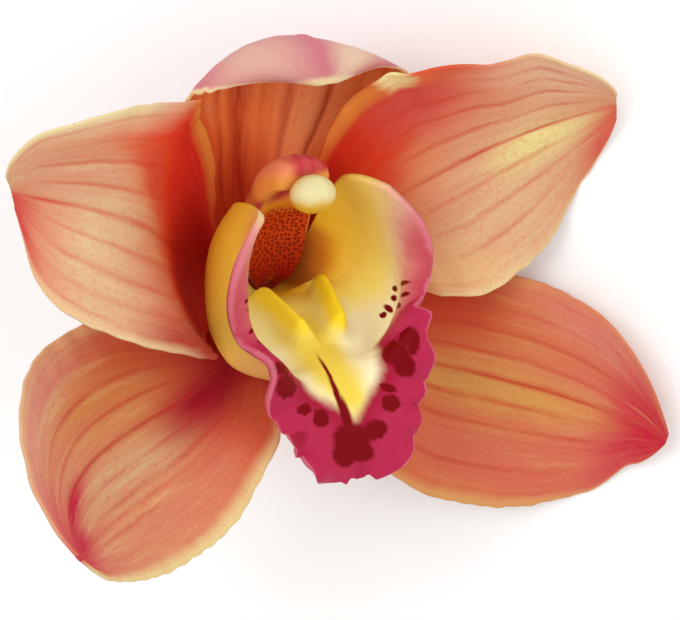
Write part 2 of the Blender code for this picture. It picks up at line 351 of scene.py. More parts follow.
class Shader:
    """A material under construction, with one method that makes its nodes."""

    def __init__(self, name: str) -> None:
        """Starts an empty material.

        Args:
            name: the material's name.
        """
        self.material = bpy.data.materials.new(name)
        self.material.use_nodes = True
        self.tree = self.material.node_tree
        self.tree.nodes.clear()

    def node(
        self, kind: str, settings: dict[str, Any], sockets: dict[Any, Any], out: int | str = 0
    ) -> Value:
        """Adds one node.

        Args:
            kind: the node's type.
            settings: its settings, set first; stops gives a ramp's places and colours.
            sockets: the value or link of each socket, by name or number.
            out: the result wanted, by name or number.

        Returns:
            The result as a value.
        """
        made = self.tree.nodes.new(kind)
        for key, setting in settings.items():
            if key == "stops":
                self._stops(made, setting)
            else:
                setattr(made, key, setting)
        for key, thing in sockets.items():
            if isinstance(thing, Value):
                self.tree.links.new(thing.socket, made.inputs[key])
            else:
                made.inputs[key].default_value = thing
        return Value(self, made.outputs[out])

    def _stops(self, made: bpy.types.Node, stops: Sequence[tuple[float, Colour]]) -> None:
        """Gives a ramp its stops.

        Args:
            made: the ramp's node.
            stops: each stop's place and colour, in rising order.
        """
        held = made.color_ramp.elements
        while len(held) < len(stops):
            held.new(1.0)
        for stop, (where, colour) in zip(held, stops):
            stop.position = where
            stop.color = colour

    def place(self) -> Value:
        """Returns the piece's place attribute: how far along it, how far across and a third measure."""
        return self.node("ShaderNodeAttribute", {"attribute_name": PLACE}, {}, "Vector")

    def split(self, vector: Value) -> tuple[Value, Value, Value]:
        """Takes a vector apart.

        Args:
            vector: the vector.

        Returns:
            Its three parts.
        """
        parts = self.node("ShaderNodeSeparateXYZ", {}, {0: vector})
        outs = parts.socket.node.outputs
        return Value(self, outs[0]), Value(self, outs[1]), Value(self, outs[2])

    def join(self, x: Any, y: Any, z: Any = 0.0) -> Value:
        """Returns a vector of three numbers."""
        return self.node("ShaderNodeCombineXYZ", {}, {0: x, 1: y, 2: z})

    def grain(self, vector: Value, scale: float, detail: float = 2.0, rough: float = 0.5) -> Value:
        """Returns soft noise from 0 to 1.

        Args:
            vector: the coordinates.
            scale: how many grains fit in a unit.
            detail: how many finer layers it has.
            rough: how strong they are.

        Returns:
            The noise.
        """
        sockets = {"Vector": vector, "Scale": scale, "Detail": detail, "Roughness": rough}
        return self.node("ShaderNodeTexNoise", {}, sockets)

    def mix(self, share: Any, low: Any, high: Any) -> Value:
        """Mixes two colours.

        Args:
            share: how much of the second there is, from 0 to 1.
            low: the first colour.
            high: the second colour.

        Returns:
            The mixed colour.
        """
        return self.node("ShaderNodeMix", {"data_type": "RGBA"}, {0: share, 6: low, 7: high}, 2)

    def shade(self, colour: Value, amount: Any, tone: Colour) -> Value:
        """Multiplies a colour by a tone.

        Args:
            colour: the colour.
            amount: how much, from 0 to 1.
            tone: the tone.

        Returns:
            The shaded colour.
        """
        settings = {"data_type": "RGBA", "blend_type": "MULTIPLY"}
        return self.node("ShaderNodeMix", settings, {0: amount, 6: colour, 7: tone}, 2)

    def ramp(self, share: Value, stops: Sequence[tuple[float, Colour]]) -> Value:
        """Reads a colour from a smooth ramp of stops."""
        return self.node("ShaderNodeValToRGB", {"stops": stops}, {0: share})

    def spot(self, vector: Value, patch: Patch) -> Value:
        """Marks one soft oval patch.

        Args:
            vector: the coordinates that the patch lies in.
            patch: where it lies, how large and how soft it is.

        Returns:
            Its amount in the middle, falling to 0 outside.
        """
        sockets = {
            "Vector": vector,
            "Location": (*patch.at, 0.0),
            "Rotation": (0.0, 0.0, radians(patch.turn)),
            "Scale": (*patch.size, FLAT),
        }
        moved = self.node("ShaderNodeMapping", {"vector_type": "TEXTURE"}, sockets)
        length = self.node("ShaderNodeVectorMath", {"operation": "LENGTH"}, {0: moved}, "Value")
        return length.step(1.0 - patch.soft, 1.0 + patch.soft, patch.amount, 0.0)

    def flushed(self, colour: Value, vector: Value, patches: Sequence[Patch]) -> Value:
        """Lays soft patches of colour over a colour.

        Args:
            colour: the colour.
            vector: the coordinates that the patches lie in.
            patches: the patches, in the order that they are laid.

        Returns:
            The flushed colour.
        """
        for patch in patches:
            colour = self.mix(self.spot(vector, patch), colour, patch.colour)
        return colour

    def finish(
        self, colour: Value, rough: Any, normal: Value | None, fixed: dict[str, Any]
    ) -> bpy.types.Material:
        """Closes the material.

        Args:
            colour: the base colour.
            rough: the roughness.
            normal: the bumped normal, if there is one.
            fixed: sockets that are the same all over.

        Returns:
            The material.
        """
        sockets: dict[str, Any] = {"Base Color": colour, "Roughness": rough, **fixed}
        if normal is not None:
            sockets["Normal"] = normal
        surface = self.node("ShaderNodeBsdfPrincipled", {}, sockets)
        end = self.tree.nodes.new("ShaderNodeOutputMaterial")
        self.tree.links.new(surface.socket, end.inputs["Surface"])
        return self.material

    def bump(self, height: Value, distance: float, strength: float = 1.0) -> Value:
        """Raises the surface by a height, with a distance in metres."""
        sockets = {"Height": height, "Distance": distance, "Strength": strength}
        return self.node("ShaderNodeBump", {}, sockets)


# The soft, barely shiny look of living petals, and the extra shine of the anther cap
FLESH = {
    "Subsurface Weight": 0.10,
    "Subsurface Radius": (1.0, 0.45, 0.25),
    "Subsurface Scale": 0.001,
    "Specular IOR Level": 0.07,
}
SHINE = {"Specular IOR Level": 0.4}


@dataclass(frozen=True)
class Vein:
    """One vein along a sepal or petal: its place across, its half width and how far it shows."""

    at: float
    width: float = 0.045
    start: float = 0.30
    end: float = 0.97
    amount: float = 0.7


@dataclass(frozen=True)
class TepalFinish:
    """The skin of a sepal or petal: its flesh, flushes, streaks, veins, pale margins and fine cells.

    flesh is the ramp of colours from the base to the tip, and skew is how far it shifts along at each
    margin. margins and margin_start are how strong each side's pale margin is and where it starts.
    fine_amount and vein_count give the fine veins between those that are drawn one by one.
    """

    name: str
    flesh: tuple[tuple[float, Colour], ...]
    skew: tuple[float, float] = (0.0, 0.0)
    flushes: tuple[Patch, ...] = ()
    veins: tuple[Vein, ...] = ()
    vein: Colour = paint(198, 62, 40)
    fine_amount: float = 0.24
    vein_count: float = 9.0
    streak: Colour = paint(210, 116, 88)
    streak_amount: float = 0.45
    margin: Colour = paint(230, 217, 162)
    margins: tuple[float, float] = (0.5, 0.5)
    margin_width: float = 0.12
    margin_start: tuple[float, float] = (0.20, 0.20)
    back: Colour = paint(230, 166, 140)
    back_amount: float = 0.6
    back_flushes: tuple[Patch, ...] = ()
    seed: float = 0.0
    vein_fade: float = 0.12
    margin_fade: float = 0.12

    def lines(self, shader: Shader, s: Value, v: Value, wander: Value, streak: Value) -> Value:
        """Draws the veins.

        Args:
            shader: the material, which is not used.
            s: how far along the blade.
            v: how far across it.
            wander: soft noise that makes the veins stray.
            streak: long soft noise that breaks them up.

        Returns:
            How much vein there is, from 0 to 1.
        """
        drift = v + wander * 0.045
        turns = drift * (self.vein_count / 2)
        main = abs((turns * pi).wave()).step(0.0, 0.42, 1.0, 0.0)
        fine = abs(((turns * 3.0 + wander * 0.6) * pi).wave()).step(0.0, 0.6, 0.45, 0.0)
        net = main.most(fine) * streak.step(0.34, 0.64) * self.fine_amount * s.step(0.1, 0.4)
        for vein in self.veins:
            line = abs(drift - vein.at).step(0.0, vein.width, vein.amount, 0.0)
            line = line * s.step(vein.start - self.vein_fade, vein.start + self.vein_fade)
            line = line * s.step(vein.end - self.vein_fade, vein.end, 1.0, 0.0)
            net = net.most(line * streak.step(0.30, 0.62, 0.3, 0.95))
        return net

    def streaked(
        self, shader: Shader, colour: Value, s: Value, v: Value, streak: Value, outer: Value
    ) -> Value:
        """Lays darker and paler streaks and fine speckles over the flesh.

        Args:
            shader: the material.
            colour: the flesh.
            s: how far along the blade.
            v: how far across it.
            streak: long soft noise.
            outer: how far each point lies in the paler outer part, from 0 to 1.

        Returns:
            The colour.
        """
        dark = streak.step(0.46, 0.70, 0.0, self.streak_amount)
        light = streak.step(0.48, 0.30, 0.0, self.streak_amount * 0.6)
        speckle = shader.grain(shader.join(s * 60.0, v * 20.0, self.seed), 1.0, 3.0, 0.6).step(0.50, 0.68)
        colour = shader.mix(dark * outer, colour, self.streak)
        colour = shader.mix(light * outer, colour, self.margin)
        return shader.mix(speckle * outer * 0.30, colour, self.streak)

    def pale(self, s: Value, v: Value, edge: Value) -> Value:
        """Says how pale the margins are.

        Args:
            s: how far along the blade.
            v: how far across it.
            edge: the distance from the midline, roughened.

        Returns:
            How much of the margin's colour there is, from 0 to 1.
        """
        upper = v.step(-0.1, 0.1)
        sides = zip(self.margin_start, self.margins)
        near, far = (s.step(start, start + self.margin_fade) * amount for start, amount in sides)
        side = near * upper + far * (1.0 - upper)
        return edge.step(1.0 - self.margin_width, 1.0) * side * s.step(0.96, 1.0, 1.0, 0.2)

    def behind(
        self, shader: Shader, colour: Value, s: Value, v: Value, wander: Value, here: Value
    ) -> Value:
        """Turns the front's colour into the back's: paler, with its own flushes and a thin pale rim.

        Args:
            shader: the material.
            colour: the front's colour.
            s: how far along the blade.
            v: how far across it.
            wander: soft noise that makes the rim uneven.
            here: the coordinates that the flushes lie in.

        Returns:
            The colour.
        """
        colour = shader.mix(self.back_amount, colour, self.back)
        rim = (abs(v) + wander * 0.02).step(0.94, 0.985).most((s + wander * 0.01).step(0.968, 0.985))
        colour = shader.mix(rim * 0.8, colour, self.margin)
        return shader.flushed(colour, here, self.back_flushes)

    def material(self, face: Face) -> bpy.types.Material:
        """Makes the material of one face.

        Args:
            face: the front or the back.

        Returns:
            The material.
        """
        shader = Shader(f"{self.name}_{face.value}")
        s, v, _ = shader.split(shader.place())
        wander = shader.grain(shader.join(s * 3.0, v * 9.0, self.seed), 1.0, 3.0) - 0.5
        broad = shader.grain(shader.join(s * 2.4, v * 1.6, self.seed), 1.6, 2.0) - 0.5
        streak = shader.grain(shader.join(s * 3.4, v * 8.5, self.seed), 1.0, 5.0, 0.62)
        tilt = v.most(0.0) * self.skew[0] - v.least(0.0) * self.skew[1]
        colour = shader.ramp(s - tilt + wander * 0.10 + broad * 0.08, self.flesh)
        here = shader.join(s + wander * 0.08, v + broad * 0.22)
        colour = shader.flushed(colour, here, self.flushes)
        colour = self.streaked(shader, colour, s, v, streak, (s - tilt).step(0.36, 0.60, 0.15, 1.0))
        net = self.lines(shader, s, v, wander, streak)
        pale = self.pale(s, v, abs(v) + broad * 0.16 + wander * 0.06)
        colour = shader.mix(net * (1.0 - pale), colour, self.vein)
        colour = shader.mix(pale, colour, self.margin)
        if face is Face.BACK:
            colour = self.behind(shader, colour, s, v, wander, here)
        cells = shader.grain(shader.join(s * 180.0, v * 70.0), 1.0, 2.0, 0.6)
        colour = shader.shade(colour, cells.step(0.40, 0.70, 0.0, 0.30), paint(236, 184, 150))
        height = cells * 0.35 - net * 0.5 + shader.grain(shader.join(s * 40.0, v * 60.0), 1.0, 3.0) * 0.6
        return shader.finish(colour, cells * 0.16 + 0.42, shader.bump(height, 0.00012, 0.5), FLESH)


@dataclass(frozen=True)
class Arch:
    """A midline that bends in the bloom's plane of symmetry, along headings given at stations."""

    base: tuple[float, float]
    length: float
    stations: tuple[float, ...]
    heading: tuple[float, ...]
    steps: int

    def place(self, s: Array, x: Array, lift: Array, ahead: Array | float = 0.0) -> Array:
        """Places points beside the midline.

        Args:
            s: shares along the midline.
            x: distances to the side.
            lift: distances upwards from it.
            ahead: distances forwards from it.

        Returns:
            The points in the bloom's frame.
        """
        fine = np.linspace(0, 1, self.steps + 1)
        heading = np.radians(along_piece(self.stations, self.heading, fine))
        midline = running(np.stack([np.sin(heading), np.cos(heading)], -1), self.length / self.steps)
        tilt = np.interp(s, fine, heading)
        y = self.base[1] + np.interp(s, fine, midline[:, 0]) + lift * np.cos(tilt) + ahead * np.sin(tilt)
        z = self.base[0] + np.interp(s, fine, midline[:, 1]) - lift * np.sin(tilt) + ahead * np.cos(tilt)
        return np.stack([x, y, z], -1)


@dataclass(frozen=True)
class Blade:
    """An open grid of faces that a sepal, a petal or the lip is drawn on."""

    rows: int
    columns: int

    def grid(self) -> tuple[bmesh.types.BMesh, Array, Array]:
        """Makes the grid.

        Returns:
            The grid, each point's share along it from 0 to 1, and its place across from -1 to 1.
        """
        sheet = bmesh.new()
        bmesh.ops.create_grid(sheet, x_segments=self.rows, y_segments=self.columns, size=1)
        places = np.array([vert.co[:] for vert in sheet.verts])
        return sheet, (places[:, 0] + 1) / 2, places[:, 1]


@dataclass
class Maker:
    """Turns a shaped grid or ball into a placed piece of the bloom."""

    pose: Pose = field(default_factory=Pose)
    thickness_levels: int = 60

    def piece(self, node: str, body: bmesh.types.BMesh, points: Array, place: Array) -> bpy.types.Object:
        """Moves a body's points into place and adds it to the scene.

        Args:
            node: the solid that it stands for.
            body: the body, which is freed.
            points: where its points go, in the bloom's frame.
            place: the measures that its finish reads, three to a point.

        Returns:
            The piece, riding on the model's one body.
        """
        name = f"{node}_skin"
        mesh = bpy.data.meshes.new(name)
        body.to_mesh(mesh)
        body.free()
        mesh.vertices.foreach_set("co", self.pose.lay(points).astype(np.float32).ravel())
        held = mesh.attributes.new(PLACE, "FLOAT_VECTOR", "POINT")
        held.data.foreach_set("vector", place.astype(np.float32).ravel())
        mesh.polygons.foreach_set("use_smooth", [True] * len(mesh.polygons))
        mesh.update()
        thing = bpy.data.objects.new(name, mesh)
        bpy.context.scene.collection.objects.link(thing)
        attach(thing, ROOT)
        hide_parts(node)
        return thing

    def thicken(
        self, thing: bpy.types.Object, thick: float, offset: float, weights: Array, least: float
    ) -> None:
        """Gives an open blade its thickness, with the second finish on its other face.

        Args:
            thing: the blade.
            thick: the greatest thickness, in millimetres.
            offset: which way it grows: 0 both ways, 1 along the faces' own direction.
            weights: how much of the thickness each point has, from 0 to 1.
            least: the share of the thickness where the weight is 0.
        """
        group = thing.vertex_groups.new(name="thickness")
        levels = np.round(np.clip(weights, 0, 1) * self.thickness_levels).astype(int)
        for level in np.unique(levels):
            share = float(level) / self.thickness_levels
            group.add(np.flatnonzero(levels == level).tolist(), share, "REPLACE")
        solid = thing.modifiers.new("thickness", "SOLIDIFY")
        solid.thickness = thick * MM
        solid.offset = offset
        solid.use_even_offset = False
        solid.vertex_group = group.name
        solid.thickness_vertex_group = least
        solid.material_offset = 1
        solid.material_offset_rim = 0


@dataclass
class Tepal:
    """A sepal or petal: where it starts, how it bends, how wide its two sides are and its finish.

    clock, pitch and roll are degrees, blended from the base to the tip: which way the midline points
    in the bloom's plane, how far it rises towards the viewer, and how the face rolls about it. widths
    and cups give each side its half width in millimetres and its curl in degrees. wave is the height,
    the count and the phase of the margin's waves. Each of the bumps adds to one side's width: the
    side, the place, the spread and the height.
    """

    name: str
    finish: TepalFinish
    base: Triple
    clock: tuple[float, ...]
    pitch: tuple[float, ...]
    roll: tuple[float, ...]
    length: float
    widths: tuple[float, float]
    claw: float
    widest: float
    fall: float
    point: float
    cups: tuple[tuple[float, ...], tuple[float, ...]]
    thick: float
    wave: Triple
    bumps: tuple[tuple[float, float, float, float], ...] = ()
    seed: int = 1
    rows: int = 170
    columns: int = 100
    tip_cut: float = 0.995
    ruffle: float = 0.35
    nibble: float = 0.006
    groove: float = 0.28
    groove_width: float = 0.9
    vein_relief: float = 0.07
    margin_share: float = 0.42
    steps: int = 400

    def spine(self) -> tuple[Array, Array, Array, Array]:
        """Works out the midline.

        Returns:
            Evenly spaced shares along it, its points, and the directions across it and out of its face.
        """
        fine = np.linspace(0, 1, self.steps + 1)
        clock, pitch, roll = (np.radians(blend(row, fine)) for row in (self.clock, self.pitch, self.roll))
        level = np.cos(pitch)
        along = np.stack([level * np.cos(clock), level * np.sin(clock), np.sin(pitch)], -1)
        flat = np.stack([-np.sin(clock), np.cos(clock), 0 * clock], -1)
        up = np.cross(along, flat)
        across = np.cos(roll)[:, None] * flat + np.sin(roll)[:, None] * up
        normal = np.cos(roll)[:, None] * up - np.sin(roll)[:, None] * flat
        return fine, np.array(self.base) + running(along, self.length / self.steps), across, normal

    def half_width(self, s: Array, v: Array) -> Array:
        """Works out how far the margin is from the midline.

        Args:
            s: shares along the blade.
            v: places across it, whose sign gives the side.

        Returns:
            The distance, in millimetres.
        """
        rise = self.claw + (1 - self.claw) * np.sin(pi / 2 * np.clip(s / self.widest, 0, 1)) ** 2
        past = np.clip((s - self.widest) / (1 - self.widest), 0, 1)
        shape = rise * (1 - past**self.fall) ** self.point
        width = np.where(v > 0, self.widths[0], self.widths[1]) * shape
        for side, centre, spread, height in self.bumps:
            width = width + (side == (v < 0)) * height * np.exp(-(((s - centre) / spread) ** 2))
        uneven = np.where(v > 0, ripple(s, self.seed, 7, 6, 26), ripple(s, self.seed + 50, 7, 6, 26))
        return width * (1 + self.nibble * uneven)

    def points(self, s: Array, v: Array) -> Array:
        """Draws the blade.

        Args:
            s: shares along it, from 0 at the base to 1 at the tip.
            v: places across it, from -1 to 1.

        Returns:
            The points in the bloom's frame.
        """
        fine, middle, across, normal = self.spine()
        size = np.abs(v)
        width = self.half_width(s, v)
        cup = np.radians(np.where(v > 0, blend(self.cups[0], s), blend(self.cups[1], s)))
        cup = np.where(np.abs(cup) < 0.001, 0.001, cup)
        out = width * np.sin(cup * size) / cup
        lift = width * (1 - np.cos(cup * size)) / cup
        high, count, phase = self.wave
        fade = np.sin(pi * np.clip(s, 0, 1)) ** 0.7
        lift = lift + high * fade * size**3 * np.sin(2 * pi * (count * s + phase + 0.3 * (v > 0)))
        frill = np.where(v > 0, ripple(s, self.seed + 7), ripple(s, self.seed + 77))
        lift = lift + self.ruffle * fade * size**5 * frill
        wander = v + 0.02 * ripple(s, self.seed + 9, 4, 1, 4)
        groove = self.groove * np.exp(-((wander * width / self.groove_width) ** 2))
        groove = groove * eased(s, 0.02, 0.15) * eased(1 - s, 0.02, 0.25)
        strands = np.abs(np.sin(wander * pi * self.finish.vein_count / 2))
        relief = self.vein_relief * eased(1 - size, 0, 0.3) * eased(1 - s, 0.02, 0.25)
        lift = lift - groove - relief * np.exp(-((strands / 0.3) ** 2))
        curves = (middle, across, normal)
        centre, side, face = (
            np.stack([np.interp(s, fine, row) for row in curve.T], -1) for curve in curves)
        return centre + side * (np.sign(v) * out)[..., None] + face * lift[..., None]

    def build(self, maker: Maker) -> list[bpy.types.Object]:
        """Builds and dresses the blade.

        Args:
            maker: what places the piece.

        Returns:
            The one piece.
        """
        sheet, share, v = Blade(self.rows, self.columns).grid()
        s = self.tip_cut * (0.45 * share + 0.55 * np.sin(pi / 2 * share))
        place = np.stack([s, v, 0 * s], -1)
        thing = maker.piece(self.name, sheet, self.points(s, v), place)
        for face in (Face.FRONT, Face.BACK):
            thing.data.materials.append(self.finish.material(face))
        body = (1 - np.abs(v) ** 4) * (0.4 + 0.6 * eased(1 - s, 0, 0.15))
        maker.thicken(thing, self.thick, 0, body, self.margin_share)
        return [thing]


@dataclass(frozen=True)
class LipFinish:
    """The skin of the lip, in millimetres along and across its face laid flat."""

    marks: tuple[Patch, ...]
    cream: Colour = paint(250, 246, 200)
    butter: Colour = paint(248, 230, 118)
    yellow: Colour = paint(253, 224, 20)
    gold: Colour = paint(242, 196, 48)
    amber: Colour = paint(214, 152, 34)
    rose: Colour = paint(160, 15, 48)
    blush: Colour = paint(222, 110, 116)
    rim: Colour = paint(226, 136, 152)
    crimson: Colour = paint(122, 0, 13)
    sun: Colour = paint(234, 206, 40)
    # umber and sienna colour the throat, partly as painted shade under the column
    umber: Colour = paint(136, 40, 10)
    sienna: Colour = paint(206, 112, 30)
    wine: Colour = paint(180, 40, 76)
    sheen: Colour = paint(240, 190, 190)

    def inside(self, shader: Shader, along: Value, across: Value, coarse: Value) -> Value:
        """Colours the inner face: gold throat, cream disc, yellow middle and keels.

        Args:
            shader: the material.
            along: millimetres along the lip.
            across: millimetres across it.
            coarse: soft noise about nothing.

        Returns:
            The colour.
        """
        raised = shader.node("ShaderNodeAttribute", {"attribute_name": RAISED}, {}, "Fac")
        depth = along + coarse * 3.0 + across.step(0.0, -5.0, 0.0, 4.5)
        stops = (
            (0.0, self.amber), (0.13, self.gold), (0.24, self.butter),
            (0.36, self.cream), (1.0, self.cream))
        colour = shader.ramp(depth / 40.0, stops)
        centre = (abs(across + 1.0) + coarse * 2.5).step(7.0, 1.6)
        centre = centre * depth.step(8.0, 13.5) * depth.step(36.0, 29.0)
        warm = across.step(1.0, -5.0, 0.0, 0.5) * depth.step(24.0, 18.0)
        colour = shader.mix(warm, colour, self.butter)
        colour = shader.mix(centre * 0.9, colour, self.sun)
        # The throat turns umber at the lip's base under the column: partly the lip's own red-brown, partly
        # painted shade
        throat = (along + coarse).step(6.0, 4.2) * across.step(1.5, 5.0) * across.step(21.0, 15.0)
        deep = shader.mix((along + coarse * 2.0).step(2.6, 5.2), self.umber, self.sienna)
        colour = shader.mix(throat * 0.85, colour, deep)
        right = across.step(-0.6, 0.6, 0.0, 0.9)
        crest = raised.step(0.20, 0.75) * right.most(depth.step(9.0, 14.0) * 0.8)
        return shader.mix(crest, shader.mix(raised.step(0.1, 0.6), colour, self.butter), self.yellow)

    def outside(self, shader: Shader, along: Value, coarse: Value) -> Value:
        """Colours the outer face: gold side lobes and a paler, pink underside to the mid lobe.

        Args:
            shader: the material.
            along: millimetres along the lip.
            coarse: soft noise about nothing.

        Returns:
            The colour.
        """
        depth = along + coarse * 4.0
        stops = (
            (0.0, self.amber), (0.14, paint(228, 184, 40)), (0.40, paint(236, 204, 80)),
            (0.62, paint(234, 176, 130)), (0.80, paint(222, 130, 140)))
        return shader.ramp(depth / 40.0, stops)

    def spotted(
        self, shader: Shader, colour: Value, along: Value, across: Value, coarse: Value, fine: Value
    ) -> Value:
        """Reddens the mid lobe round its yellow middle and lays the crimson marks on the inner face.

        Args:
            shader: the material.
            colour: the inner face's colour.
            along: millimetres along the lip.
            across: millimetres across it.
            coarse: soft noise about nothing.
            fine: finer noise about nothing.

        Returns:
            The colour.
        """
        tongue = along.step(22.0, 38.0, 10.0, -3.0)
        past = abs(across) + coarse * 2.8 + fine * 0.6 - tongue
        lobe = past.step(-2.2, 1.8) * (along + coarse * 2.0).step(18.5, 23.5)
        colour = shader.mix(lobe, colour, shader.mix(past.step(0.0, 6.0), self.rose, self.wine))
        stem = (abs(across + 1.8) + (along - 33.0).most(0.0)).step(1.5, 4.0, 0.3, 1.0)
        calm = abs(across).step(13.0, 17.0, 1.0, 0.12).least(stem)
        ragged = shader.join(along + fine * calm * 1.1, across + (coarse * 1.2 + fine * 0.8) * calm)
        marked = reduce(Value.most, (shader.spot(ragged, patch) for patch in self.marks))
        return shader.mix(marked, colour, self.crimson)

    def material(self, face: Face) -> bpy.types.Material:
        """Makes the material of one face.

        Args:
            face: the front, which is the inside of the lip, or the back.

        Returns:
            The material.
        """
        shader = Shader(f"lip_{face.value}")
        along, across, v = shader.split(shader.place())
        flat = shader.join(along, across)
        coarse = shader.grain(flat, 0.22, 3.0) - 0.5
        fine = shader.grain(flat, 1.1, 3.0) - 0.5
        if face is Face.FRONT:
            colour = self.inside(shader, along, across, coarse)
        else:
            colour = self.outside(shader, along, coarse)
        edge = abs(v) + coarse * 0.08 + fine * 0.02
        inner_edge = 0.58 if face is Face.FRONT else 0.86
        band = edge.step(inner_edge, 0.97) * (along + coarse * 3.0).step(8.0, 19.0)
        colour = shader.mix(band, colour, self.blush)
        colour = shader.mix(edge.step(0.80, 1.0) * band * 0.6, colour, self.rose)
        if face is Face.FRONT:
            colour = self.spotted(shader, colour, along, across, coarse, fine)
        colour = shader.mix(edge.step(0.972, 1.0, 0.0, 0.5) * along.step(9.0, 13.0), colour, self.rim)
        cells = shader.grain(flat, 7.0, 3.0)
        colour = shader.shade(colour, cells.step(0.4, 0.7, 0.0, 0.22), self.sheen)
        height = cells * 0.6 + fine
        return shader.finish(colour, cells * 0.2 + 0.38, shader.bump(height, 0.00018, 0.5), FLESH)


@dataclass
class Lip:
    """The labellum: a folded blade with two side lobes, a frilled mid lobe and two keels.

    girth is half the width in millimetres at the midline's stations. near, middle and margin are how
    far the face is turned, in degrees, at the last three girth stations. curl and lean turn each
    side's margin further. Each of the teeth adds to one side's width: the side, the place, the spread
    and the height. crest_column and foot_column are where the keels' crest and foot lie on the grid.
    """

    finish: LipFinish
    arch: Arch = Arch(
        base=(1.4, -2.6),
        length=42.5,
        stations=(0, 0.08, 0.17, 0.28, 0.40, 0.50, 0.58, 0.68, 0.80, 0.91, 1.0),
        heading=(-11, -17, -29, -44, -44, -44, -54, -76, -93, -111, -133),
        steps=400)
    start: float = 0.02
    end: float = 0.99
    girth: tuple[float, ...] = (2.3, 14.6, 33.6, 40.2, 36.9, 24.0, 18.0, 14.3, 11.4, 9.4, 2.0)
    girth_stations: tuple[float, ...] = (0, 0.25, 0.6, 1)
    near: tuple[float, ...] = (10, 18, 13, 2, -11, -21, -4, 2, 1, 4, 7)
    middle: tuple[float, ...] = (30, 74, 93, 105, 98, 72, 59, 10, 4, 18, 28)
    margin: tuple[float, ...] = (45, 99, 118, 102, 56, 29, 19, -14, -22, -13, -3)
    keel_height: float = 4.3
    keel_rear: float = 5.5
    keel_front: float = 1.8
    keel_skew: float = 1.5
    keel_spread: float = 1.75
    keel_band: float = 3.4
    keel_start: float = 0.15
    keel_stop: float = 0.43
    keel_flare: float = 9
    crest_limit: float = 0.22
    foot_limit: float = 0.46
    crest_column: float = 6 / 28
    foot_column: float = 12 / 28
    thick: float = 1.2
    teeth: tuple[tuple[float, float, float, float], ...] = (
        (0, 0.565, 0.012, 1.3), (0, 0.535, 0.016, -1.2), (1, 0.56, 0.02, 0.8))
    lobing: float = 0.022
    curl: tuple[float, float] = (0.0, 58.0)
    curl_span: tuple[float, float, float, float] = (0.33, 0.52, 0.50, 0.60)
    curl_edge: float = 0.86
    lean: tuple[float, float] = (0.0, 24.0)
    lean_at: float = 0.21
    lean_spread: float = 0.09
    lean_edge: float = 0.70
    frill: float = 0.9
    rows: int = 240
    columns: int = 168
    steps_across: int = 40

    def shares(self, u: Array, v: Array) -> tuple[Array, Array, Array]:
        """Works out how far across the lip each point lies.

        Args:
            u: shares along the lip.
            v: places across it, from -1 to 1.

        Returns:
            The half girth, the keel crest's distance from the midline, and each point's share of the half
            girth.
        """
        girth = along_piece(self.arch.stations, self.girth, u)
        for side, centre, spread, height in self.teeth:
            girth = girth + (side == (v < 0)) * height * np.exp(-(((u - centre) / spread) ** 2))
        lobed = np.where(v > 0, ripple(u, 61, 6, 8, 22), ripple(u, 67, 6, 8, 22))
        girth = girth * (1 + self.lobing * lobed * eased(u, 0.50, 0.60))
        closing = np.clip((u - self.keel_start) / (self.keel_stop - self.keel_start), 0, 1)
        crest = self.keel_rear + (v > 0) * self.keel_skew + (self.keel_front - self.keel_rear) * closing
        flared = crest + self.keel_flare * np.clip(u - self.keel_stop, 0, 1)
        crest = np.minimum(flared, self.crest_limit * girth)
        foot = np.minimum(crest + self.keel_band, self.foot_limit * girth)
        size = np.abs(v)
        inner = crest * size / self.crest_column
        between = (size - self.crest_column) / (self.foot_column - self.crest_column)
        middle = crest + (foot - crest) * between
        outer = foot + (girth - foot) * (size - self.foot_column) / (1 - self.foot_column)
        reach = np.where(size < self.foot_column, middle, outer)
        reach = np.where(size < self.crest_column, inner, reach)
        return girth, crest, reach / girth

    def points(self, u: Array, v: Array) -> Array:
        """Draws the lip's outer face.

        Args:
            u: shares along it, from the base to the tip.
            v: places across it, from -1 to 1.

        Returns:
            The points in the bloom's frame.
        """
        girth, _, share = self.shares(u, v)
        turns = [along_piece(self.arch.stations, row, u) for row in (self.near, self.middle, self.margin)]
        knots = np.stack([0 * u, *turns], -1)
        steps = np.linspace(0, 1, self.steps_across + 1)[None, :] * share[:, None]
        opens, full, closes, shut = self.curl_span
        curl = eased(u, opens, full) * eased(-u, -shut, -closes) * np.where(v > 0, *self.curl)
        lean = np.exp(-(((u - self.lean_at) / self.lean_spread) ** 2)) * np.where(v > 0, *self.lean)
        turn = through(self.girth_stations, knots, steps)
        turn = turn - curl[:, None] * eased(steps, self.curl_edge, 1.0)
        turn = np.radians(turn + lean[:, None] * eased(steps, self.lean_edge, 1.0))
        size = (girth * share / self.steps_across)[None, :]
        out = running(np.cos(turn).T, size)[-1]
        rise = running(np.sin(turn).T, size)[-1]
        waves = ripple(u + 0.37 * (v > 0), 5, 6, 4, 11)
        rise = rise + self.frill * eased(np.abs(v), 0.55, 1.0) * eased(u, 0.50, 0.62) * waves
        return self.arch.place(u, np.sign(v) * out, rise)

    def keels(self, u: Array, v: Array) -> Array:
        """Works out how far the lip is raised into its two keels.

        Args:
            u: shares along the lip.
            v: places across it, from -1 to 1.

        Returns:
            The rise at each point, from 0 to 1.
        """
        girth, crest, share = self.shares(u, v)
        ridge = np.exp(-np.abs((girth * share - crest) / self.keel_spread) ** 2.1)
        rise = eased(u, self.keel_start - 0.07, self.keel_start + 0.06)
        return ridge * rise * eased(-u, -self.keel_stop - 0.03, -self.keel_stop + 0.05)

